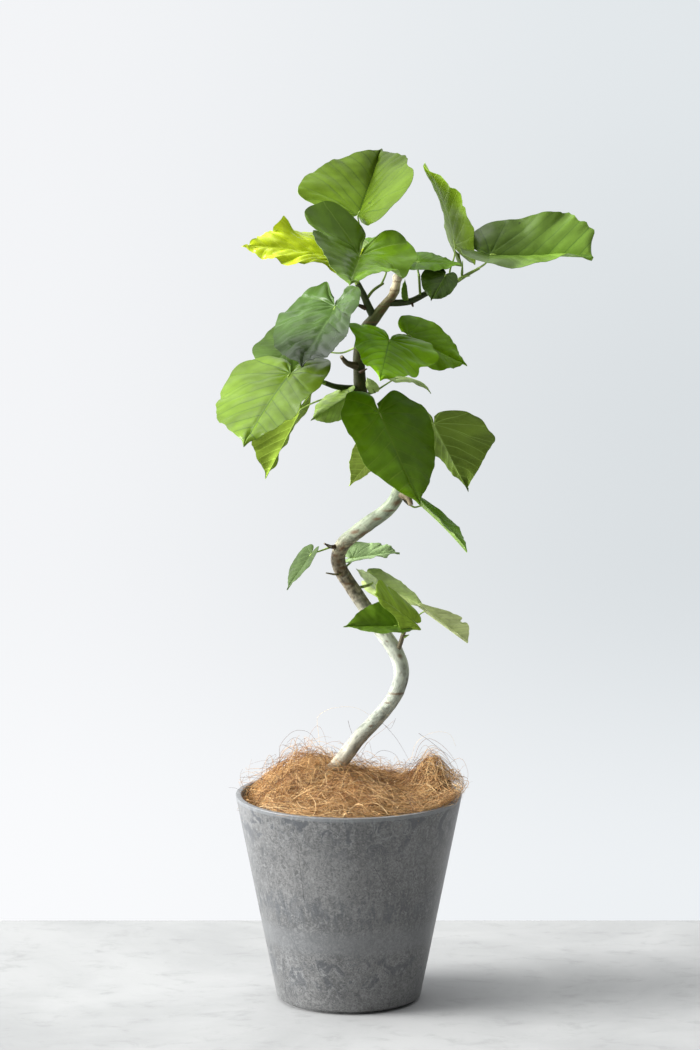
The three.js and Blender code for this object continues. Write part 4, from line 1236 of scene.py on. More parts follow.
def fibre_strands():
    """The locks and the single strands, each colour as one piece."""
    rng = np.random.default_rng(11)
    x, y, depth = (np.concatenate(pair) for pair in zip(lock_routes(rng), loose_routes(rng)))
    count = len(x)
    x, y = held_in(x, y, 0)
    t = np.linspace(0, 1, FIBRE_STEPS)[None]
    rise = (rng.random(count) ** 3 * STRAND_RISE)[:, None] * np.sin(math.pi * t)
    tilt = rng.normal(0, STRAND_TILT, count)[:, None] * (t - 0.5)
    sway = rng.normal(0, STRAND_SWAY, count)[:, None]
    sway = sway * np.sin(2 * math.pi * t + rng.random(count)[:, None] * 6)
    clump = fractal(joined(x, y, x * 0), CLUMP_SIZE, 3) * CLUMP_HEIGHT
    z = mound(x, y) - FIBRE_CORE_DROP * depth[:, None] + rise + tilt + sway + clump
    z = z - sunken(x) - settled(x, y)
    paths = joined(x, y, z)
    taper = np.clip(np.sin(math.pi * np.clip(t, 0.04, 0.96)), 0.35, 1)
    radii = (STRAND_RADIUS + STRAND_RADIUS_MORE * rng.random(count) ** 3)[:, None] * taper
    kinds = np.searchsorted(np.cumsum([share for _, share in FIBRE_COLORS.values()]), rng.random(count))
    for index, (name, (color, _)) in enumerate(FIBRE_COLORS.items()):
        chosen = kinds == index
        made = material("fibre_" + name, color, 0.55, specular=0.35, sheen=0.15)
        piece = joined_tubes("fibre_strands_" + name, paths[chosen], radii[chosen], FIBRE_SIDES, made)
        finish_piece(piece, "fibre", "fibre_mulch")


def fibre_hairs():
    """Loose hairs that stand up from the mound: short random arcs, and the long strays."""
    rng = np.random.default_rng(5)
    x, y = on_mound(rng, HAIR_COUNT, FIBRE_EDGE_RADIUS - 22)
    total = HAIR_LENGTH * np.exp(rng.normal(0, 0.35, HAIR_COUNT))
    turn = rng.normal(0, HAIR_TURN, HAIR_COUNT)
    x, y = curl(rng, x, y, rng.random(HAIR_COUNT) * 2 * math.pi, total, turn, HAIR_STEPS)
    x, y = held_in(x, y, 4)
    t = np.linspace(0, 1, HAIR_STEPS)[None]
    tall = (HAIR_HEIGHT + HAIR_HEIGHT_MORE * rng.random(HAIR_COUNT) ** 2.4)[:, None]
    lean = HAIR_LEAN + rng.random(HAIR_COUNT)[:, None] * HAIR_LEAN_MORE
    z = mound(x, y) - HAIR_SUNK + tall * np.sin(math.pi * t * (1 - lean))
    names = ("gold", "amber", "russet", "brown")
    paths = {name: [] for name in (*names, "straw")}
    widths = {name: [] for name in paths}
    for index in range(HAIR_COUNT):
        name = names[index % len(names)]
        paths[name].append(joined(x[index], y[index], z[index]))
        wide = HAIR_RADIUS + HAIR_RADIUS_MORE * rng.random()
        widths[name].append(wide * np.linspace(1, 0.5, HAIR_STEPS))
    for route, radius, name in STRAY_HAIRS:
        paths[name].append(spline(route, HAIR_STEPS - 1))
        widths[name].append(radius * np.linspace(1, 0.6, HAIR_STEPS))
    for name in paths:
        made = material("fibre_hair_" + name, FIBRE_COLORS[name][0], 0.55, specular=0.35)
        routes, wide = np.stack(paths[name]), np.stack(widths[name])
        piece = joined_tubes("fibre_hairs_" + name, routes, wide, FIBRE_SIDES, made)
        finish_piece(piece, "fibre", "fibre_mulch")


# trunk and boughs

TRUNK_STEPS = 620
TRUNK_AROUND = 56
BOUGH_STEPS = 110
BOUGH_AROUND = 28
STUB_STEPS = 26
TWIG_AROUND = 16

# Above the soil the trunk slants straight out of the loose fibre
TRUNK_FOOT = [((-50, 0, 254), 9.8), ((-26, 0, 281), 9.4), ((-4, 0, 307), 9.3)]
TRUNK_FOOT_TOP = 320
RING_SPACING = 27

# Bark colours by height up the trunk, from the fibre to the pruned tip; the paler tone at 450 mm is partly
# painted light against the leaves' shadow
BARK_COLORS_AND_PAINTED_LIGHT = [
    (250, (0.30, 0.21, 0.11)), (280, (0.47, 0.38, 0.24)), (306, (0.50, 0.47, 0.37)),
    # Painted light: the tone at 450 mm is paler than its neighbours, against the shadow of the leaves above
    (345, (0.32, 0.34, 0.275)), (400, (0.41, 0.44, 0.365)), (450, (0.52, 0.55, 0.45)),
    (478, (0.36, 0.36, 0.28)), (512, (0.21, 0.18, 0.125)), (545, (0.155, 0.125, 0.083)),
    (568, (0.22, 0.20, 0.13)), (585, (0.27, 0.30, 0.21)), (630, (0.29, 0.34, 0.235)),
    (665, (0.24, 0.27, 0.155)), (720, (0.078, 0.088, 0.028)), (780, (0.026, 0.029, 0.006)),
    (835, (0.055, 0.062, 0.016)), (862, (0.10, 0.11, 0.035)), (878, (0.24, 0.20, 0.10)),
    (890, (0.50, 0.43, 0.27)), (910, (0.64, 0.56, 0.41)),
]
SCAR_COLOR = (0.13, 0.070, 0.032)
RING_COLOR = (0.60, 0.58, 0.44)
CUT_COLOR = (0.40, 0.33, 0.22)
BAND_COLOR = (0.42, 0.38, 0.29)
DRY_COLOR = (0.060, 0.036, 0.020)
STUB_COLORS = [(0.085, 0.064, 0.036), DRY_COLOR, DRY_COLOR, (0.200, 0.170, 0.090), (0.230, 0.185, 0.110)]
BOUGH_COLOR = (0.045, 0.062, 0.020)
SHOOT_COLOR = (0.120, 0.105, 0.065)

# Brown scars: height, side angle in degrees seen from above (front is -90), size along and around
TRUNK_SCARS = [
    (384, -60, 1.5, 16), (500, -20, 2.0, 6), (586, -70, 5.5, 3.2), (588, -118, 3.0, 2.6),
    (606, -100, 2.2, 2.0), (566, -96, 3.2, 2.4), (571, -60, 2.2, 2.0), (548, -85, 3.0, 3.0),
    (533, -100, 3.0, 2.4), (627, -70, 4.5, 5.0), (345, -90, 1.4, 1.4), (431, -70, 3.0, 3.5),
    (860, -80, 3.5, 3.0), (880, -95, 3.5, 3.0), (449, -100, 1.2, 1.2), (373, -110, 1.0, 4.0),
    (617, -80, 1.6, 6.0), (540, -60, 2.0, 6.0), (556, -120, 2.0, 5.0), (520, -90, 1.6, 5.0),
    (846, -90, 0.9, 9.0), (866, -110, 1.1, 9.0), (872, -60, 0.8, 7.0), (886, -90, 0.9, 9.0),
    (897, -90, 0.8, 8.0),
]


def bark_color_and_painted_light_at(height):
    """The bark's base colour at a height, blended between the listed colours, with the painted light at 450
    mm.
    """
    at = [tone[0] for tone in BARK_COLORS_AND_PAINTED_LIGHT]
    return np.stack([np.interp(height, at, [tone[1][k] for tone in BARK_COLORS_AND_PAINTED_LIGHT]) for k in range(3)], -1)


def one_tone(color):
    """A bark of one base colour."""
    return lambda height: np.zeros(height.shape + (3,)) + color


def node_rings(cyl, along, around, rings_at, rng, seed):
    """Where old leaves sat: the swelling of each ring, and how strongly its line shows."""
    swell = np.zeros_like(along)
    line = np.zeros_like(along)
    for at in rings_at:
        skew = rng.normal(0, 1.2) * np.cos(around - rng.random() * 6)
        skew = skew + noise(cyl[0], 8, int(at) + seed) * 1.2
        away = along - at - skew[None]
        swell = swell + 0.42 * np.exp(-(away / 2.2) ** 2) - 0.30 * np.exp(-(away / 0.9) ** 2)
        line = np.maximum(line, (0.5 + 0.5 * rng.random()) * np.exp(-((away - 0.8) / 0.8) ** 2))
    return swell, line * smooth(-0.15, 0.4, fractal(cyl, 14, seed + 9))


# Bark patterns: heights of the crusty bend, and how strongly each pattern shows
BEND_RISE = (478, 512)
BEND_FALL = (592, 566)
BEND_PALE = 0.45
BEND_CRUST = 0.85
BEND_BANDS = 0.7
BROAD_SHIFT = 0.34
MOTTLE = 0.42
STREAKS = 0.50
PORE_DARK = 0.40
PORE_SCAR = 0.30
RING_SHARE = 0.85
RING_GREY = 0.30
SCAR_SHARE = 0.85
COLOR_RANGE = (0.004, 0.9)


def bark_colors(cyl, color, line, seed, height):
    """Bark colour by place: broad shifts, mottling, lengthwise streaks, pores and pale ring lines."""
    bend = (smooth(*BEND_RISE, height) * smooth(*BEND_FALL, height))[..., None]
    crust = smooth(-0.12, 0.22, fractal(cyl * [1, 1, 1.5], 4.2, seed + 11))[..., None]
    bands = smooth(0.18, 0.42, fractal(cyl * [0.3, 0.3, 1.7], 5, seed + 12))[..., None]
    color = color * (1 + bend * (BEND_PALE - BEND_CRUST * crust))
    color = color * (1 - BEND_BANDS * bend * bands) + np.array(BAND_COLOR) * BEND_BANDS * bend * bands
    shade = 1 + BROAD_SHIFT * fractal(cyl, 26, seed + 2)
    shade = shade * (1 - MOTTLE * smooth(0.02, 0.40, fractal(cyl * [1, 1, 0.6], 4.5, seed + 3)))
    shade = shade * (1 + STREAKS * fractal(cyl * [1.6, 1.6, 0.16], 3, seed + 7))
    color = color * shade[..., None]
    pores = smooth(0.52, 0.68, noise(cyl * [1, 1, 0.7], 1.5, seed + 4))[..., None]
    color = color * (1 - PORE_DARK * pores) + np.array(SCAR_COLOR) * PORE_SCAR * pores
    line = line[..., None]
    pale = np.array(RING_COLOR) * color.mean(-1, keepdims=True) / RING_GREY
    return color * (1 - RING_SHARE * line) + pale * RING_SHARE * line


def bark_mesh(name, path, radius, tone, seed, scars=(), sides=TRUNK_AROUND, cut_end=True, rough=0.12):
    """A limb with swollen joints, ring scars, small pores and colour by place."""
    steps = len(path)
    length = np.concatenate([[0], np.cumsum(np.linalg.norm(np.diff(path, axis=0), axis=1))])
    around = np.arange(sides) * 2 * math.pi / sides
    rng = np.random.default_rng(seed)
    along = length[:, None] + np.zeros((1, sides))
    cyl = joined(np.cos(around) * 9 + 0 * along, np.sin(around) * 9 + 0 * along, along)
    bumps = fractal(cyl, 16, seed) * 0.35 + fractal(cyl * [1, 1, 0.35], 2.4, seed + 5) * rough
    rings_at = np.cumsum(RING_SPACING * (0.45 + 0.9 * rng.random(int(length[-1] / RING_SPACING * 1.6) + 2)))
    swell, line = node_rings(cyl, along, around, rings_at, rng, seed)
    scale = np.minimum(radius / 8.0, 1.0)[:, None]
    radii = radius[:, None] + (bumps + swell) * scale
    points, quads, (u, v), caps = tubes(path[None], radii[None], sides)
    ring_points = points[: steps * sides].reshape(steps, sides, 3)
    out = ring_points - path[:, None]
    side_angle = np.degrees(np.arctan2(out[..., 1], out[..., 0]))
    height = ring_points[..., 2]
    color = bark_colors(cyl, tone(height), line, seed, height)
    for at, where, tall, wide in scars:
        turn = (side_angle - where + 180) % 360 - 180
        arc = np.radians(turn) * radius[:, None]
        ragged = 1 + 0.5 * fractal(cyl, 3.5, int(at))
        mark = np.exp(-(((height - at) / tall) ** 2 + (arc / wide) ** 2) ** 1.5 * ragged)[..., None]
        color = color * (1 - SCAR_SHARE * mark) + np.array(SCAR_COLOR) * SCAR_SHARE * mark
    color = np.clip(color, *COLOR_RANGE).reshape(-1, 3)
    ends = np.stack([color[:sides].mean(0), np.array(CUT_COLOR) if cut_end else color[-sides:].mean(0)])
    color = np.column_stack([np.vstack([color, ends]), np.ones(len(points))])
    faces = np.vstack([quads[:, [0, 1, 2]], quads[:, [0, 2, 3]], caps])
    quad_uv = joined(u, v) * 0.96 + 0.02
    cap_uv = np.zeros((len(caps), 3, 2)) + 0.01
    uv = np.vstack([quad_uv[:, [0, 1, 2]], quad_uv[:, [0, 2, 3]], cap_uv])
    return mesh_piece(name, points, faces, [bark_material(name + "_bark", 0.55)], uv=uv,
                      layers=[("tone", "FLOAT_COLOR", color)], sharp=BARK_SHARP)


def bark_material(name, roughness):
    """Smooth young bark: the colour laid down by place, with fine grain and faint stripes."""
    made = material(name, (0.3, 0.3, 0.2), roughness, specular=0.2)
    tree = made.node_tree
    where = place(tree)
    grain = lumps(tree, where, 700, 5, 0.6)
    color = attribute(tree, "tone").outputs["Color"]
    dark = blend(tree, 0.5, color, (0.02, 0.018, 0.01))
    color = blend(tree, times(tree, ramp(tree, grain, 0.55, 0.8), 0.30), color, dark)
    paint(tree, color, ramp(tree, grain, 0.2, 0.8, 0.46, 0.66))
    relief(tree, grain, 0.25, 0.0004)
    return made


def make_trunk():
    """The trunk with its knobby pruned tip, and its stubs."""
    stations = TRUNK_FOOT + [row for row in TRUNK if row[0][2] > TRUNK_FOOT_TOP]
    route = np.array([station for station, _ in stations], float)
    path = spline(route, TRUNK_STEPS)
    spans = np.linalg.norm(np.diff(route, axis=0), axis=1)
    at = np.concatenate([[0], np.cumsum(spans)]) / spans.sum()
    radius = np.interp(np.linspace(0, 1, TRUNK_STEPS + 1), at, [wide for _, wide in stations])
    # The pruned tip ends in a knobby rim
    left = (1 - np.linspace(0, 1, TRUNK_STEPS + 1)) * spans.sum()
    radius = radius + 1.3 * np.exp(-((left - 3.5) / 3.0) ** 2) + 0.9 * np.exp(-((left - 20) / 4.0) ** 2)
    radius = radius - 1.2 * smooth(1.5, 0, left)
    trunk = bark_mesh("trunk_bark", path, radius, bark_color_and_painted_light_at, 31, scars=TRUNK_SCARS)
    finish_piece(trunk, "bark", "trunk")
    for index, (stub, color) in enumerate(zip(TRUNK_STUBS, STUB_COLORS)):
        make_stub("trunk_stub_%d" % (index + 1), stub, "trunk", 40 + index, color)


def make_stub(name, stub, owner, seed, color):
    """A broken twig end, dry or still alive."""
    path = spline(stub["route"], STUB_STEPS)
    radius = np.linspace(stub["root"] * 1.1, stub["tip"], STUB_STEPS + 1)
    radius = radius * (1 + 0.22 * fractal(path, 4, seed))
    piece = bark_mesh(name, path, radius, one_tone(color), seed, sides=TWIG_AROUND, rough=0.5)
    return finish_piece(piece, "bark" if owner == "trunk" else "young_bark", owner)


def make_boughs():
    """The boughs, each with its stubs."""
    for index, bough in enumerate(BOUGHS):
        path = spline(bough["route"], BOUGH_STEPS)
        radius = np.linspace(bough["root"], bough["tip"], BOUGH_STEPS + 1)
        piece = bark_mesh(bough["name"] + "_bark", path, radius, one_tone(BOUGH_COLOR), 60 + index,
                          sides=BOUGH_AROUND, cut_end=False, rough=0.3)
        finish_piece(piece, "young_bark", bough["name"])
        for number, stub in enumerate(bough["stubs"]):
            stub_name = "%s_stub_%d" % (bough["name"], number + 1)
            make_stub(stub_name, stub, bough["name"], 70 + index + number, DRY_COLOR)


# leaves

# Torn places in a margin, as further pulls: mass and number of the leaf
TEARS = {
    "foliage_low_shoot": {2: [(-0.36, 0.57, -0.17, 0, 0, 0.045)]},
    "foliage_crown": {0: [(0.40, 0.60, -0.06, 0, 0, 0.04)]},
}

BLADE_OUTLINE_STEPS = 72
BLADE_ROWS = 18
BLADE_THICKNESS = 0.7
BLADE_EDGE_THICKNESS = 0.4
STALK_STEPS = 40
STALK_AROUND = 12
WOODY_STEMS = ("foliage_low_shoot", "foliage_bend_right", "foliage_bend_left", "foliage_bend_back")
GREEN_STEM = (0.170, 0.245, 0.050)
# No painted light and shade on a look: every half and end keeps its colour
NO_PAINTED_LIGHT = (1, 1, 1, 1)

# Relief of a blade of this length, in millimetres: panels, veins, midrib, cup and waves
RELIEF_LENGTH = 130
PANEL_PUFF = 0.40
VEIN_DEPTH = 0.45
VEIN_HALF_WIDTH = 0.012
RIB_DEPTH = 0.9
RIB_HALF_WIDTH = 0.018
CUP_HEIGHT = 2.4
SCALLOP = 0.006


def flat_grid():
    """The flat grid of a blade: places, each place's share from midrib to margin, triangles and rim."""
    outline = spline(HALF_OUTLINE, BLADE_OUTLINE_STEPS)
    outline[0] = (0, 1)
    outline[:, 0] = np.maximum(outline[:, 0], 0)
    share = np.linspace(0, 1, BLADE_ROWS + 1)[None, :]
    edge_u, edge_v = outline[:, :1], outline[:, 1:]
    start = np.clip(edge_v - VEIN_SLOPE * edge_u - VEIN_CURVE * edge_u ** 2, 0, 1)
    full = VEIN_SLOPE * edge_u + VEIN_CURVE * edge_u ** 2
    part = VEIN_SLOPE * edge_u * share + VEIN_CURVE * (edge_u * share) ** 2
    along = np.where(full > 1e-6, part / np.maximum(full, 1e-6), share)
    u = edge_u * share
    v = start + (edge_v - start) * along
    count = u.size
    places = np.concatenate([joined(u, v).reshape(-1, 2), joined(-u, v).reshape(-1, 2)])
    shares = np.tile(np.broadcast_to(share, u.shape).ravel(), 2)
    keys = np.round(places, 6) + 0.0
    unique, first, index = np.unique(keys, axis=0, return_index=True, return_inverse=True)
    index = index.ravel()
    i, j = cells_of(BLADE_OUTLINE_STEPS, BLADE_ROWS)
    a = i * (BLADE_ROWS + 1) + j
    b, c, d = a + 1, a + BLADE_ROWS + 2, a + BLADE_ROWS + 1
    triangles = np.vstack([joined(a, b, c), joined(a, c, d)])
    triangles = index[np.vstack([triangles, triangles + count])]
    same = (triangles[:, 0] == triangles[:, 1]) | (triangles[:, 1] == triangles[:, 2])
    same |= triangles[:, 0] == triangles[:, 2]
    triangles = triangles[~same]
    p = unique[triangles]
    area = np.cross(p[:, 1] - p[:, 0], p[:, 2] - p[:, 0])
    triangles = triangles[np.abs(area) > 1e-9]
    area = area[np.abs(area) > 1e-9]
    triangles = np.where((area > 0)[:, None], triangles, triangles[:, [0, 2, 1]])
    edges = np.vstack([triangles[:, [0, 1]], triangles[:, [1, 2]], triangles[:, [2, 0]]])
    forward = edges[:, 0] * len(unique) + edges[:, 1]
    backward = edges[:, 1] * len(unique) + edges[:, 0]
    rim = edges[~np.isin(forward, backward)]
    return unique, shares[first], triangles, rim


def pulled(leaf, u, v):
    """How far a leaf's pulls shift each flat place: across, along and up."""
    across, along, up = np.zeros_like(u), np.zeros_like(u), np.zeros_like(u)
    for at_u, at_v, move_across, move_along, move_up, reach in leaf.get("pulls", []) + leaf.get("tears", []):
        share = np.exp(-((u - at_u) ** 2 + (v - at_v) ** 2) / reach ** 2)
        across = across + move_across * share
        along = along + move_along * share
        up = up + move_up * share
    return across, along, up


def blade_point(leaf, u, v):
    """A place on a leaf's middle surface, by the same rule as the solid."""
    run, left, right = (np.asarray(leaf[key], float) for key in ("run", "left", "right"))
    upper = unit(unit(np.cross(right, run)) + unit(np.cross(run, left)))
    shift_across, shift_along, shift_up = pulled(leaf, u, v)
    side = (u >= 0).astype(int)
    across = np.where(side[..., None] == 0, left, right)
    forward = np.maximum(v, 0)
    back = np.maximum(-v, 0) / LOBE_LENGTH
    arch = 4 * leaf.get("bend", 0) * forward * (1 - forward)
    lift = np.asarray(leaf.get("lift", (0, 0)), float)[side] * back ** 1.5
    widen = 1 + np.asarray(leaf.get("shoulder", (0, 0)), float)[side] * forward ** 2
    point = np.asarray(leaf["stalk"][-1], float) + (v + shift_along)[..., None] * run
    point = point + ((np.abs(u) + shift_across) * widen)[..., None] * across
    return point + ((arch + lift + shift_up) * np.linalg.norm(run))[..., None] * upper


def vein_lines(u, v):
    """How near a place is to a side vein, and how far up the panel between two of them."""
    a = np.abs(u)
    k = v - VEIN_SLOPE * a - VEIN_CURVE * a * a + np.where(u < 0, VEIN_SPACING * 0.4, 0)
    phase = k / VEIN_SPACING
    near = np.abs(phase - np.round(phase)) * VEIN_SPACING
    fan_phase = (np.degrees(np.arctan2(v, a + 1e-6)) - LOBE_FAN) / LOBE_STEP
    fan_near = np.abs(fan_phase - np.round(fan_phase)) * math.radians(LOBE_STEP) * np.hypot(a, v)
    lobe = smooth(0.02, -0.03, v - VEIN_SLOPE * a - VEIN_CURVE * a * a)
    near = near * (1 - lobe) + fan_near * lobe
    panel = np.sin(math.pi * phase) ** 2 * (1 - lobe) + np.sin(math.pi * fan_phase) ** 2 * lobe
    return near, panel


def surface_normals(points, triangles):
    """Normals at a mesh's points, from the triangles that meet there."""
    a, b, c = (points[triangles[:, corner]] for corner in range(3))
    face = np.cross(b - a, c - a)
    normal = np.zeros_like(points)
    for corner in range(3):
        np.add.at(normal, triangles[:, corner], face)
    return unit(normal)


def blade_margin(turn, share, panel, wave, seed):
    """Places for noise round the margin, and how far the margin is nibbled and scalloped."""
    around = joined(turn * 4, turn * 0, turn * 0 + seed % 89)
    nibble = wave * share ** 4 * (0.022 * noise(around, 1.3, seed) + 0.012 * noise(around, 0.45, seed + 1))
    return around, nibble + wave * share ** 6 * SCALLOP * (panel - 0.5)


def blade_relief(u, v, share, panels, margin, puff, wave, seed):
    """Height over the middle surface: puffed panels, sunken veins and midrib, cup, swells and waves."""
    near, panel = panels
    turn, around = margin
    phase = np.random.default_rng(seed).random(4) * 2 * math.pi
    inside = smooth(0, 0.25, share) * smooth(1.05, 0.70, share)
    flat = joined(u * 10, v * 10, np.zeros_like(u) + seed)
    sunk = VEIN_DEPTH * np.exp(-(near / VEIN_HALF_WIDTH) ** 2)
    height = puff * (PANEL_PUFF * panel * inside - sunk * smooth(0, 0.1, share))
    height = height - RIB_DEPTH * np.exp(-(np.abs(u) / RIB_HALF_WIDTH) ** 2) * smooth(-0.02, 0.05, v)
    height = height + CUP_HEIGHT * np.sin(math.pi * np.clip(share, 0, 1)) * smooth(0.0, 0.2, np.abs(u) + 0.1)
    swells = 1.5 * noise(flat, 3.2, seed) + 0.6 * noise(flat, 1.6, seed + 7)
    height = height + swells * smooth(0, 0.3, share)
    rumple = 0.8 * noise(flat, 1.1, seed + 3) + 0.35 * noise(flat, 0.6, seed + 4)
    height = height + puff * rumple * smooth(0, 0.2, share)
    waves = 2.2 * np.sin(3 * turn + phase[2]) + 1.6 * np.sin(7 * turn + phase[3])
    height = height + wave * share ** 2.5 * waves
    return height + wave * share ** 5 * 1.8 * noise(around, 0.6, seed + 2)


def blade_uv(u, v, triangles, wall, count):
    """Corner UVs: the upper side on the left of the square, the underside and the rim on the right."""
    uv = joined(u * 0.95 + 0.5, (v + 0.3) / 1.35) * [0.48, 0.96]
    upper = uv[triangles] + [0.01, 0.02]
    under = uv[triangles[:, [0, 2, 1]]] + [0.51, 0.02]
    return np.concatenate([upper, under, uv[np.where(wall >= count, wall - count, wall)] + [0.51, 0.02]])


def blade_arrays(leaf, seed, puff, wave):
    """A closed thin blade with puffed panels, sunken veins and a waved, faintly scalloped margin."""
    places, share, triangles, rim = GRID
    u, v = places[:, 0].copy(), places[:, 1].copy()
    near, panel = vein_lines(u, v)
    turn = np.arctan2(u, v - 0.35)
    around, nibble = blade_margin(turn, share, panel, wave, seed)
    middle = blade_point(leaf, u * (1 + nibble), v + nibble * 0.6 * np.sign(v - 0.2))
    size = np.linalg.norm(leaf["run"]) / RELIEF_LENGTH
    normal = surface_normals(middle, triangles)
    height = blade_relief(u, v, share, (near, panel), (turn, around), puff, wave, seed)
    middle = middle + normal * (height * size)[:, None]
    thick = BLADE_EDGE_THICKNESS + (BLADE_THICKNESS - BLADE_EDGE_THICKNESS) * (1 - share ** 4)
    half = thick[:, None] / 2
    points = np.vstack([middle + normal * half, middle - normal * half])
    count = len(middle)
    under = triangles[:, [0, 2, 1]] + count
    a, b = rim[:, 0], rim[:, 1]
    wall = np.vstack([joined(a, a + count, b + count), joined(a, b + count, b)])
    faces = np.vstack([triangles, under, wall])
    kinds = np.concatenate([np.zeros(len(triangles), int), np.ones(len(under) + len(wall), int)])
    flat_place = np.tile(joined(u, v, np.zeros_like(u) + (seed % 97) * 0.37), (2, 1))
    return points, faces, kinds, flat_place, blade_uv(u, v, triangles, wall, count)


def line_share(tree, near, width):
    """How strongly a line shows at a distance from its middle."""
    return ramp(tree, calc(tree, "DIVIDE", near, width), 1.0, 0.3)


def vein_pattern(tree, flat):
    """The veins' share and the nearness to a side vein, by the same rule as the blade's relief."""
    parts = node(tree, "ShaderNodeSeparateXYZ", Vector=flat)
    u, v = parts.outputs[0], parts.outputs[1]
    wobble = minus(tree, lumps(tree, flat, 9, 2), 0.5)
    a = calc(tree, "ABSOLUTE", u)
    spread = plus(tree, times(tree, a, VEIN_SLOPE),
                  times(tree, times(tree, a, a), VEIN_CURVE))
    k = minus(tree, v, spread)
    left = times(tree, calc(tree, "LESS_THAN", u, 0.0), VEIN_SPACING * 0.4)
    turn = plus(tree, plus(tree, k, left), times(tree, wobble, 0.020))
    phase = calc(tree, "DIVIDE", turn, VEIN_SPACING)
    near = apart(tree, phase, calc(tree, "ROUND", phase))
    near = times(tree, near, VEIN_SPACING)
    width = ramp(tree, a, 0.0, 0.5, 0.0090, 0.0036)
    side = times(tree, line_share(tree, near, width), ramp(tree, k, -0.03, 0.01))
    angle = calc(tree, "ARCTAN2", v, plus(tree, a, 0.000001))
    angle = minus(tree, angle, math.radians(LOBE_FAN))
    angle = plus(tree, angle, times(tree, wobble, 0.10))
    angle = calc(tree, "DIVIDE", angle, math.radians(LOBE_STEP))
    away = calc(tree, "SQRT", plus(tree, times(tree, a, a), times(tree, v, v)))
    near_lobe = apart(tree, angle, calc(tree, "ROUND", angle))
    near_lobe = times(tree, times(tree, near_lobe, math.radians(LOBE_STEP)), away)
    lobe = times(tree, line_share(tree, near_lobe, width), ramp(tree, k, 0.0, -0.03))
    rib_width = ramp(tree, v, 0.0, 1.0, 0.0140, 0.0045)
    rib = times(tree, line_share(tree, a, rib_width), calc(tree, "GREATER_THAN", v, -0.005))
    return calc(tree, "MAXIMUM", calc(tree, "MAXIMUM", side, lobe), rib), near


def painted_light_and_shade(tree, flat, color, left, right, base, tip):
    """Painted light and shade: a leaf colour made darker or lighter by half, and from base to tip."""
    parts = node(tree, "ShaderNodeSeparateXYZ", Vector=flat).outputs
    share = times(tree, ramp(tree, parts[0], -0.05, 0.05, left, right),
                 ramp(tree, parts[1], -0.05, 0.85, base, tip))
    return node(tree, "ShaderNodeVectorMath", dict(operation="SCALE"), i0=color, Scale=share).outputs[0]


# Leaf colour: its darker and lighter patches, the painted shade beside the sunken veins of the upper side
# and the painted light beside the raised veins of the underside, the ladder net and the veins
LEAF_DARK = 0.78
LEAF_LIGHT = 1.18
LEAF_LIGHT_MORE = 0.002
VEIN_SHADE_AND_LIGHT_REACH = (0.034, 0.004)
VEIN_SHADE_AND_LIGHT_SHARE = 0.25
NET_SCALE = 20.0
NET_SHARES = (0.07, 0.16)
VEIN_SHARES = (0.62, 0.85)
MARK_STRENGTH = 0.9


def marked(tree, flat, tint, marks):
    """Small spots laid over a leaf's colour."""
    for at_u, at_v, size, mark in marks:
        across = node(tree, "ShaderNodeVectorMath", dict(operation="MULTIPLY"), i0=flat, i1=(1, 1, 0))
        away = node(tree, "ShaderNodeVectorMath", dict(operation="DISTANCE"),
                    i0=across.outputs[0], i1=(at_u, at_v, 0))
        spot = ramp(tree, away.outputs["Value"], size, size * 0.6)
        tint = blend(tree, times(tree, spot, MARK_STRENGTH), tint, mark)
    return tint


def leaf_material(name, color, vein, roughness, coat, under, painted_light=(1, 1, 1, 1), marks=()):
    """Leaf surface: side veins, a faint ladder net, soft mottling, painted shade and light beside the veins
    and by half and length, and waxy gloss.
    """
    made = material(name, color, roughness, specular=0.06, coat=0.0 if under else coat, coat_roughness=0.30)
    tree = made.node_tree
    flat = attribute(tree, "flat").outputs["Vector"]
    veins, near = vein_pattern(tree, flat)
    net = node(tree, "ShaderNodeTexVoronoi", dict(feature="DISTANCE_TO_EDGE"), Vector=flat, Scale=NET_SCALE)
    fine = ramp(tree, net.outputs["Distance"], 0.05, 0.0)
    patches = lumps(tree, flat, 4, 4, 0.55, 0.4)
    dark = tuple(c * LEAF_DARK for c in color)
    light = tuple(min(c * LEAF_LIGHT + LEAF_LIGHT_MORE, 1) for c in color)
    tint = blend(tree, ramp(tree, patches, 0.30, 0.70), dark, light)
    # Painted shade beside the sunken veins of the upper side, painted light beside the raised veins of the
    # underside
    beside = times(tree, ramp(tree, near, *VEIN_SHADE_AND_LIGHT_REACH), VEIN_SHADE_AND_LIGHT_SHARE)
    tint = blend(tree, beside, tint, light if under else dark)
    tint = blend(tree, times(tree, fine, NET_SHARES[under]), tint, vein)
    tint = blend(tree, times(tree, veins, VEIN_SHARES[under]), tint, vein)
    # The leaf colour takes its painted light and shade by half and from base to tip, then its marks
    tint = marked(tree, flat, painted_light_and_shade(tree, flat, tint, *painted_light), marks)
    paint(tree, tint, plus(tree, roughness - 0.06, times(tree, patches, 0.14)))
    sign = 1.0 if under else -1.0
    height = plus(tree, times(tree, veins, 0.6 * sign), times(tree, fine, 0.12 * sign))
    height = plus(tree, height, times(tree, lumps(tree, place(tree), 70, 1), 0.6))
    relief(tree, height, 0.25, 0.0004)
    return made


def stalk_arrays(leaf):
    """A leaf stalk, a little swollen at both ends, sunk into the base of its blade."""
    sunk = blade_point(leaf, np.array([0.0]), np.array([STALK_SUNK]))[0]
    path = spline([*leaf["stalk"], sunk], STALK_STEPS)
    t = np.linspace(0, 1, STALK_STEPS + 1)
    radius = STALK_RADIUS + (STALK_END_RADIUS - STALK_RADIUS) * t
    radius = radius * (0.92 + 0.35 * np.exp(-(t / 0.05) ** 2) + 0.25 * np.exp(-((t - 0.93) / 0.05) ** 2))
    return path, radius


# Seeds of the leaves, and the space of a bud's widths
LEAF_SEED = 101
LEAF_SEED_STEP = 13
BUD_PLACES = (0, 0.3, 1)
STEM_ROUGH = 0.3


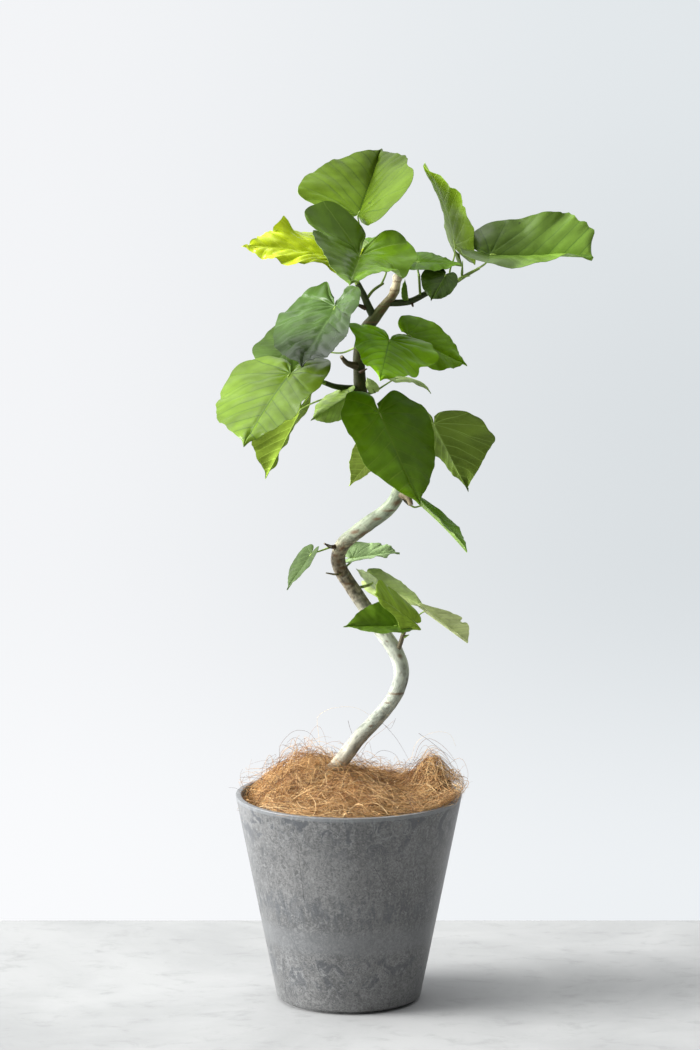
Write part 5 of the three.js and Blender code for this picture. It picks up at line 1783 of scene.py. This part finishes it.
def make_blades(mass, materials):
    """The blades of a mass as one piece, and how many points they have."""
    looks = LEAF_LOOKS[mass["name"]]
    names = sorted(set(looks))
    slots = [m for look in names for m in materials[look]]
    parts = []
    start = 0
    cells = int(math.ceil(math.sqrt(len(looks))))
    for index, (leaf, look) in enumerate(zip(mass["leaves"], looks)):
        seed = LEAF_SEED + LEAF_SEED_STEP * index + sum(map(ord, mass["name"]))
        points, faces, kinds, flat, uv = blade_arrays(leaf, seed, *LOOKS[look][5:])
        cell = np.array(divmod(index, cells)) / cells
        parts.append((points, faces + start, kinds + 2 * names.index(look), flat, uv / cells + cell))
        start += len(points)
    points, faces, kinds, flat, uv = (np.concatenate(rows) for rows in zip(*parts))
    blades = mesh_piece(mass["name"] + "_leaves", points, faces, slots, face_material=kinds, uv=uv,
                        layers=[("flat", "FLOAT_VECTOR", flat)], sharp=LEAF_SHARP)
    finish_piece(blades, "leaf", mass["name"])
    return start


def make_stem(mass, seed):
    """The stem of a mass, brown where it is woody."""
    tone = SHOOT_COLOR if mass["name"] in WOODY_STEMS else GREEN_STEM
    path = spline(mass["stem"], STALK_STEPS)
    radius = np.linspace(mass["root"], mass["tip"], STALK_STEPS + 1)
    stem = bark_mesh(mass["name"] + "_stem", path, radius, one_tone(tone), seed, sides=TWIG_AROUND,
                     cut_end=False, rough=STEM_ROUGH)
    finish_piece(stem, "leaf", mass["name"])


def make_stalks(mass, green):
    """The stalks and buds of a mass as one piece."""
    stalks = [stalk_arrays(leaf) for leaf in mass["leaves"]]
    for bud in mass.get("buds", []):
        widths = [bud["root"] * 0.8, bud["root"] * 1.15, bud["tip"] * 0.5]
        width = np.interp(np.linspace(0, 1, STALK_STEPS + 1), BUD_PLACES, widths)
        stalks.append((spline(bud["route"], STALK_STEPS), width))
    routes, widths = zip(*stalks)
    piece = joined_tubes(mass["name"] + "_stalks", np.stack(routes), np.stack(widths), STALK_AROUND, green)
    finish_piece(piece, "leaf", mass["name"])


def make_mass(mass, materials, green):
    """One mass: its blades, its stem, and its stalks and buds, each kind as one piece."""
    for index, tears in TEARS.get(mass["name"], {}).items():
        mass["leaves"][index]["tears"] = tears
    make_stem(mass, make_blades(mass, materials))
    make_stalks(mass, green)


def stalk_material():
    """Smooth green stalks with a soft mottle."""
    made = material("stalk_green", (0.16, 0.26, 0.045), 0.45, specular=0.4)
    tree = made.node_tree
    where = place(tree)
    mottle = lumps(tree, where, 90, 4)
    paint(tree, blend(tree, ramp(tree, mottle, 0.35, 0.7), (0.16, 0.26, 0.025), (0.33, 0.45, 0.090)))
    relief(tree, lumps(tree, where, 900, 3), 0.3, 0.0003)
    return made


# stage, light and camera

# Floor, in metres
FLOOR_FAR_EDGE = 0.387
FLOOR_NEAR_EDGE = -9.0
FLOOR_HALF_WIDTH = 6.0
FLOOR_CLOUDS = ((0.366, 0.369, 0.365), (0.445, 0.447, 0.441))
FLOOR_SPECK = (0.270, 0.272, 0.268)

# Backdrop that the camera sees, with painted shade that darkens it to the right: its upper, middle and lower
# colours, left and right
BACKDROP = [
    ((0.90, 0.91, 0.93), (0.76, 0.80, 0.825)),
    ((0.905, 0.915, 0.935), (0.70, 0.738, 0.762)),
    ((0.956, 0.965, 0.982), (0.845, 0.875, 0.90)),
]
LEFT_TO_RIGHT = (-0.075, 0.075)
UPPER_TO_MIDDLE = (-0.065, -0.15)
MIDDLE_TO_LOWER = (-0.17, -0.238)

# Fill light by direction: the dim rest, the window side, behind and above
BLACK = (0.0, 0.0, 0.0)
FILL_REST = (0.045, 0.046, 0.048)
WINDOW_GLOW = (2.30, 2.33, 2.39)
WINDOW_REACH = (-0.36, -0.95)
BACK_GLOW = (1.0, 1.02, 1.05)
BACK_REACH = (0.15, 0.85)
BACK_SIDES = (-0.2, 0.7, 1.25, 0.5)
TOP_GLOW = (0.80, 0.81, 0.83)
TOP_REACH = (0.25, 0.90)

# Lamps: soft daylight from a window on the left, and a soft light above
WINDOW_WAY = (4.16, 0.56, -1.44)
WINDOW_LAMP = dict(angle=0.586, energy=6.5)
TOP_PLACE = (-0.6, -0.2, 3.0)
TOP_AIM = (0, 0, 0.6)
TOP_LAMP = dict(shape="RECTANGLE", size=1.5, size_y=1.5, energy=32)


def make_stage():
    """A pale grey floor whose far edge shows behind the pot."""
    mesh = bpy.data.meshes.new("table")
    left, right = -FLOOR_HALF_WIDTH, FLOOR_HALF_WIDTH
    near, far = FLOOR_NEAR_EDGE, FLOOR_FAR_EDGE
    corners = [(left, near, 0), (right, near, 0), (right, far, 0), (left, far, 0)]
    mesh.from_pydata(corners, [], [(0, 1, 2, 3)])
    made = material("table_grey", (0.62, 0.63, 0.63), 0.9, specular=0.0)
    tree = made.node_tree
    where = place(tree)
    cloud = lumps(tree, where, 3.0, 6, 0.6, 0.6)
    speck = lumps(tree, stretched(tree, where, (20, 30, 1)), 1.0, 6, 0.70, 0.5)
    color = blend(tree, ramp(tree, cloud, 0.3, 0.7), *FLOOR_CLOUDS)
    color = patch(tree, ramp(tree, speck, 0.50, 0.74), 0.45, color, FLOOR_SPECK)
    paint(tree, color)
    relief(tree, speck, 0.3, 0.002)
    mesh.materials.append(made)
    table = bpy.data.objects.new("table", mesh)
    bpy.context.collection.objects.link(table)


def glow(tree, total, share, color):
    """Adds a share of a colour to the fill light."""
    part = blend(tree, share, BLACK, color)
    made = tree.nodes.new("ShaderNodeMix")
    made.data_type = "RGBA"
    made.blend_type = "ADD"
    made.inputs[0].default_value = 1.0
    tree.links.new(total, made.inputs[6])
    tree.links.new(part, made.inputs[7])
    return made.outputs[2]


def make_world():
    """A near-white backdrop with painted shade that darkens it to the right, and a fill from the left, from
    behind and from above.
    """
    world = bpy.data.worlds.new("studio")
    bpy.context.scene.world = world
    world.use_nodes = True
    tree = world.node_tree
    background = tree.nodes["Background"]
    ray = tree.nodes.new("ShaderNodeLightPath")
    direction = tree.nodes.new("ShaderNodeTexCoord").outputs["Generated"]
    right, away, up = node(tree, "ShaderNodeSeparateXYZ", Vector=direction).outputs
    # Painted shade on the backdrop: darker to the right, away from the window light
    across = ramp(tree, right, *LEFT_TO_RIGHT)
    upper, middle, lower = (blend(tree, across, *sides) for sides in BACKDROP)
    seen = blend(tree, ramp(tree, up, *UPPER_TO_MIDDLE), upper, middle)
    seen = blend(tree, ramp(tree, up, *MIDDLE_TO_LOWER), seen, lower)
    fill = blend(tree, 0.0, FILL_REST, BLACK)
    fill = glow(tree, fill, ramp(tree, right, *WINDOW_REACH), WINDOW_GLOW)
    behind = times(tree, ramp(tree, away, *BACK_REACH), ramp(tree, right, *BACK_SIDES))
    fill = glow(tree, fill, behind, BACK_GLOW)
    fill = glow(tree, fill, ramp(tree, up, *TOP_REACH), TOP_GLOW)
    color = blend(tree, ray.outputs["Is Camera Ray"], fill, seen)
    tree.links.new(color, background.inputs["Color"])
    background.inputs["Strength"].default_value = 1.0


def add_lamp(name, kind, settings, way, where=(0, 0, 0)):
    """One lamp that shines along a direction."""
    lamp = bpy.data.lights.new(name, kind)
    for key, value in settings.items():
        setattr(lamp, key, value)
    light = bpy.data.objects.new(name, lamp)
    light.location = where
    light.rotation_euler = Vector(way).to_track_quat("-Z", "Y").to_euler()
    bpy.context.collection.objects.link(light)


def make_lights():
    """Daylight from the left and soft light from above."""
    add_lamp("window_left", "SUN", WINDOW_LAMP, WINDOW_WAY)
    way = np.asarray(TOP_AIM, float) - np.asarray(TOP_PLACE, float)
    add_lamp("top_soft", "AREA", TOP_LAMP, way, TOP_PLACE)


def make_camera():
    """The camera at the photograph's place and angle."""
    data = bpy.data.cameras.new("camera")
    data.sensor_width = SENSOR
    data.lens = FOCAL_PIXELS / PHOTO_LONG_SIDE * SENSOR
    data.clip_end = CLIP_END
    camera = bpy.data.objects.new("camera", data)
    camera.location = CAMERA_PLACE
    camera.rotation_euler = (math.radians(90 - CAMERA_PITCH), 0, 0)
    bpy.context.collection.objects.link(camera)
    bpy.context.scene.camera = camera


def dress_soil():
    """The soil keeps its solid's shape and gets its own look."""
    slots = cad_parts["soil"].data.materials
    slots.clear()
    slots.append(soil_material())


def leaf_materials():
    """Two materials for each look: its upper side and its underside."""
    made = {}
    for look, (upper, under, vein, rough, coat, _, _) in LOOKS.items():
        painted_light = LEAF_PAINTED_LIGHT.get(look, NO_PAINTED_LIGHT)
        marks = LEAF_MARKS.get(look, ())
        under_vein = tuple(min(c * 1.7 + 0.03, 1) for c in under)
        made[look] = (
            leaf_material("leaf_" + look, upper, vein, rough, coat, False, painted_light, marks),
            leaf_material("leaf_%s_under" % look, under, under_vein, rough + 0.12, 0, True, painted_light),
        )
    return made


def make_foliage():
    """All the masses of leaves."""
    materials = leaf_materials()
    green = stalk_material()
    for mass in MASSES:
        make_mass(mass, materials, green)


make_camera()
bpy.context.scene.view_settings.view_transform = "Standard"
make_stage()
make_world()
make_lights()
make_pot()
dress_soil()
fibre_core()
fibre_strands()
fibre_hairs()
make_trunk()
make_boughs()
GRID = flat_grid()
make_foliage()
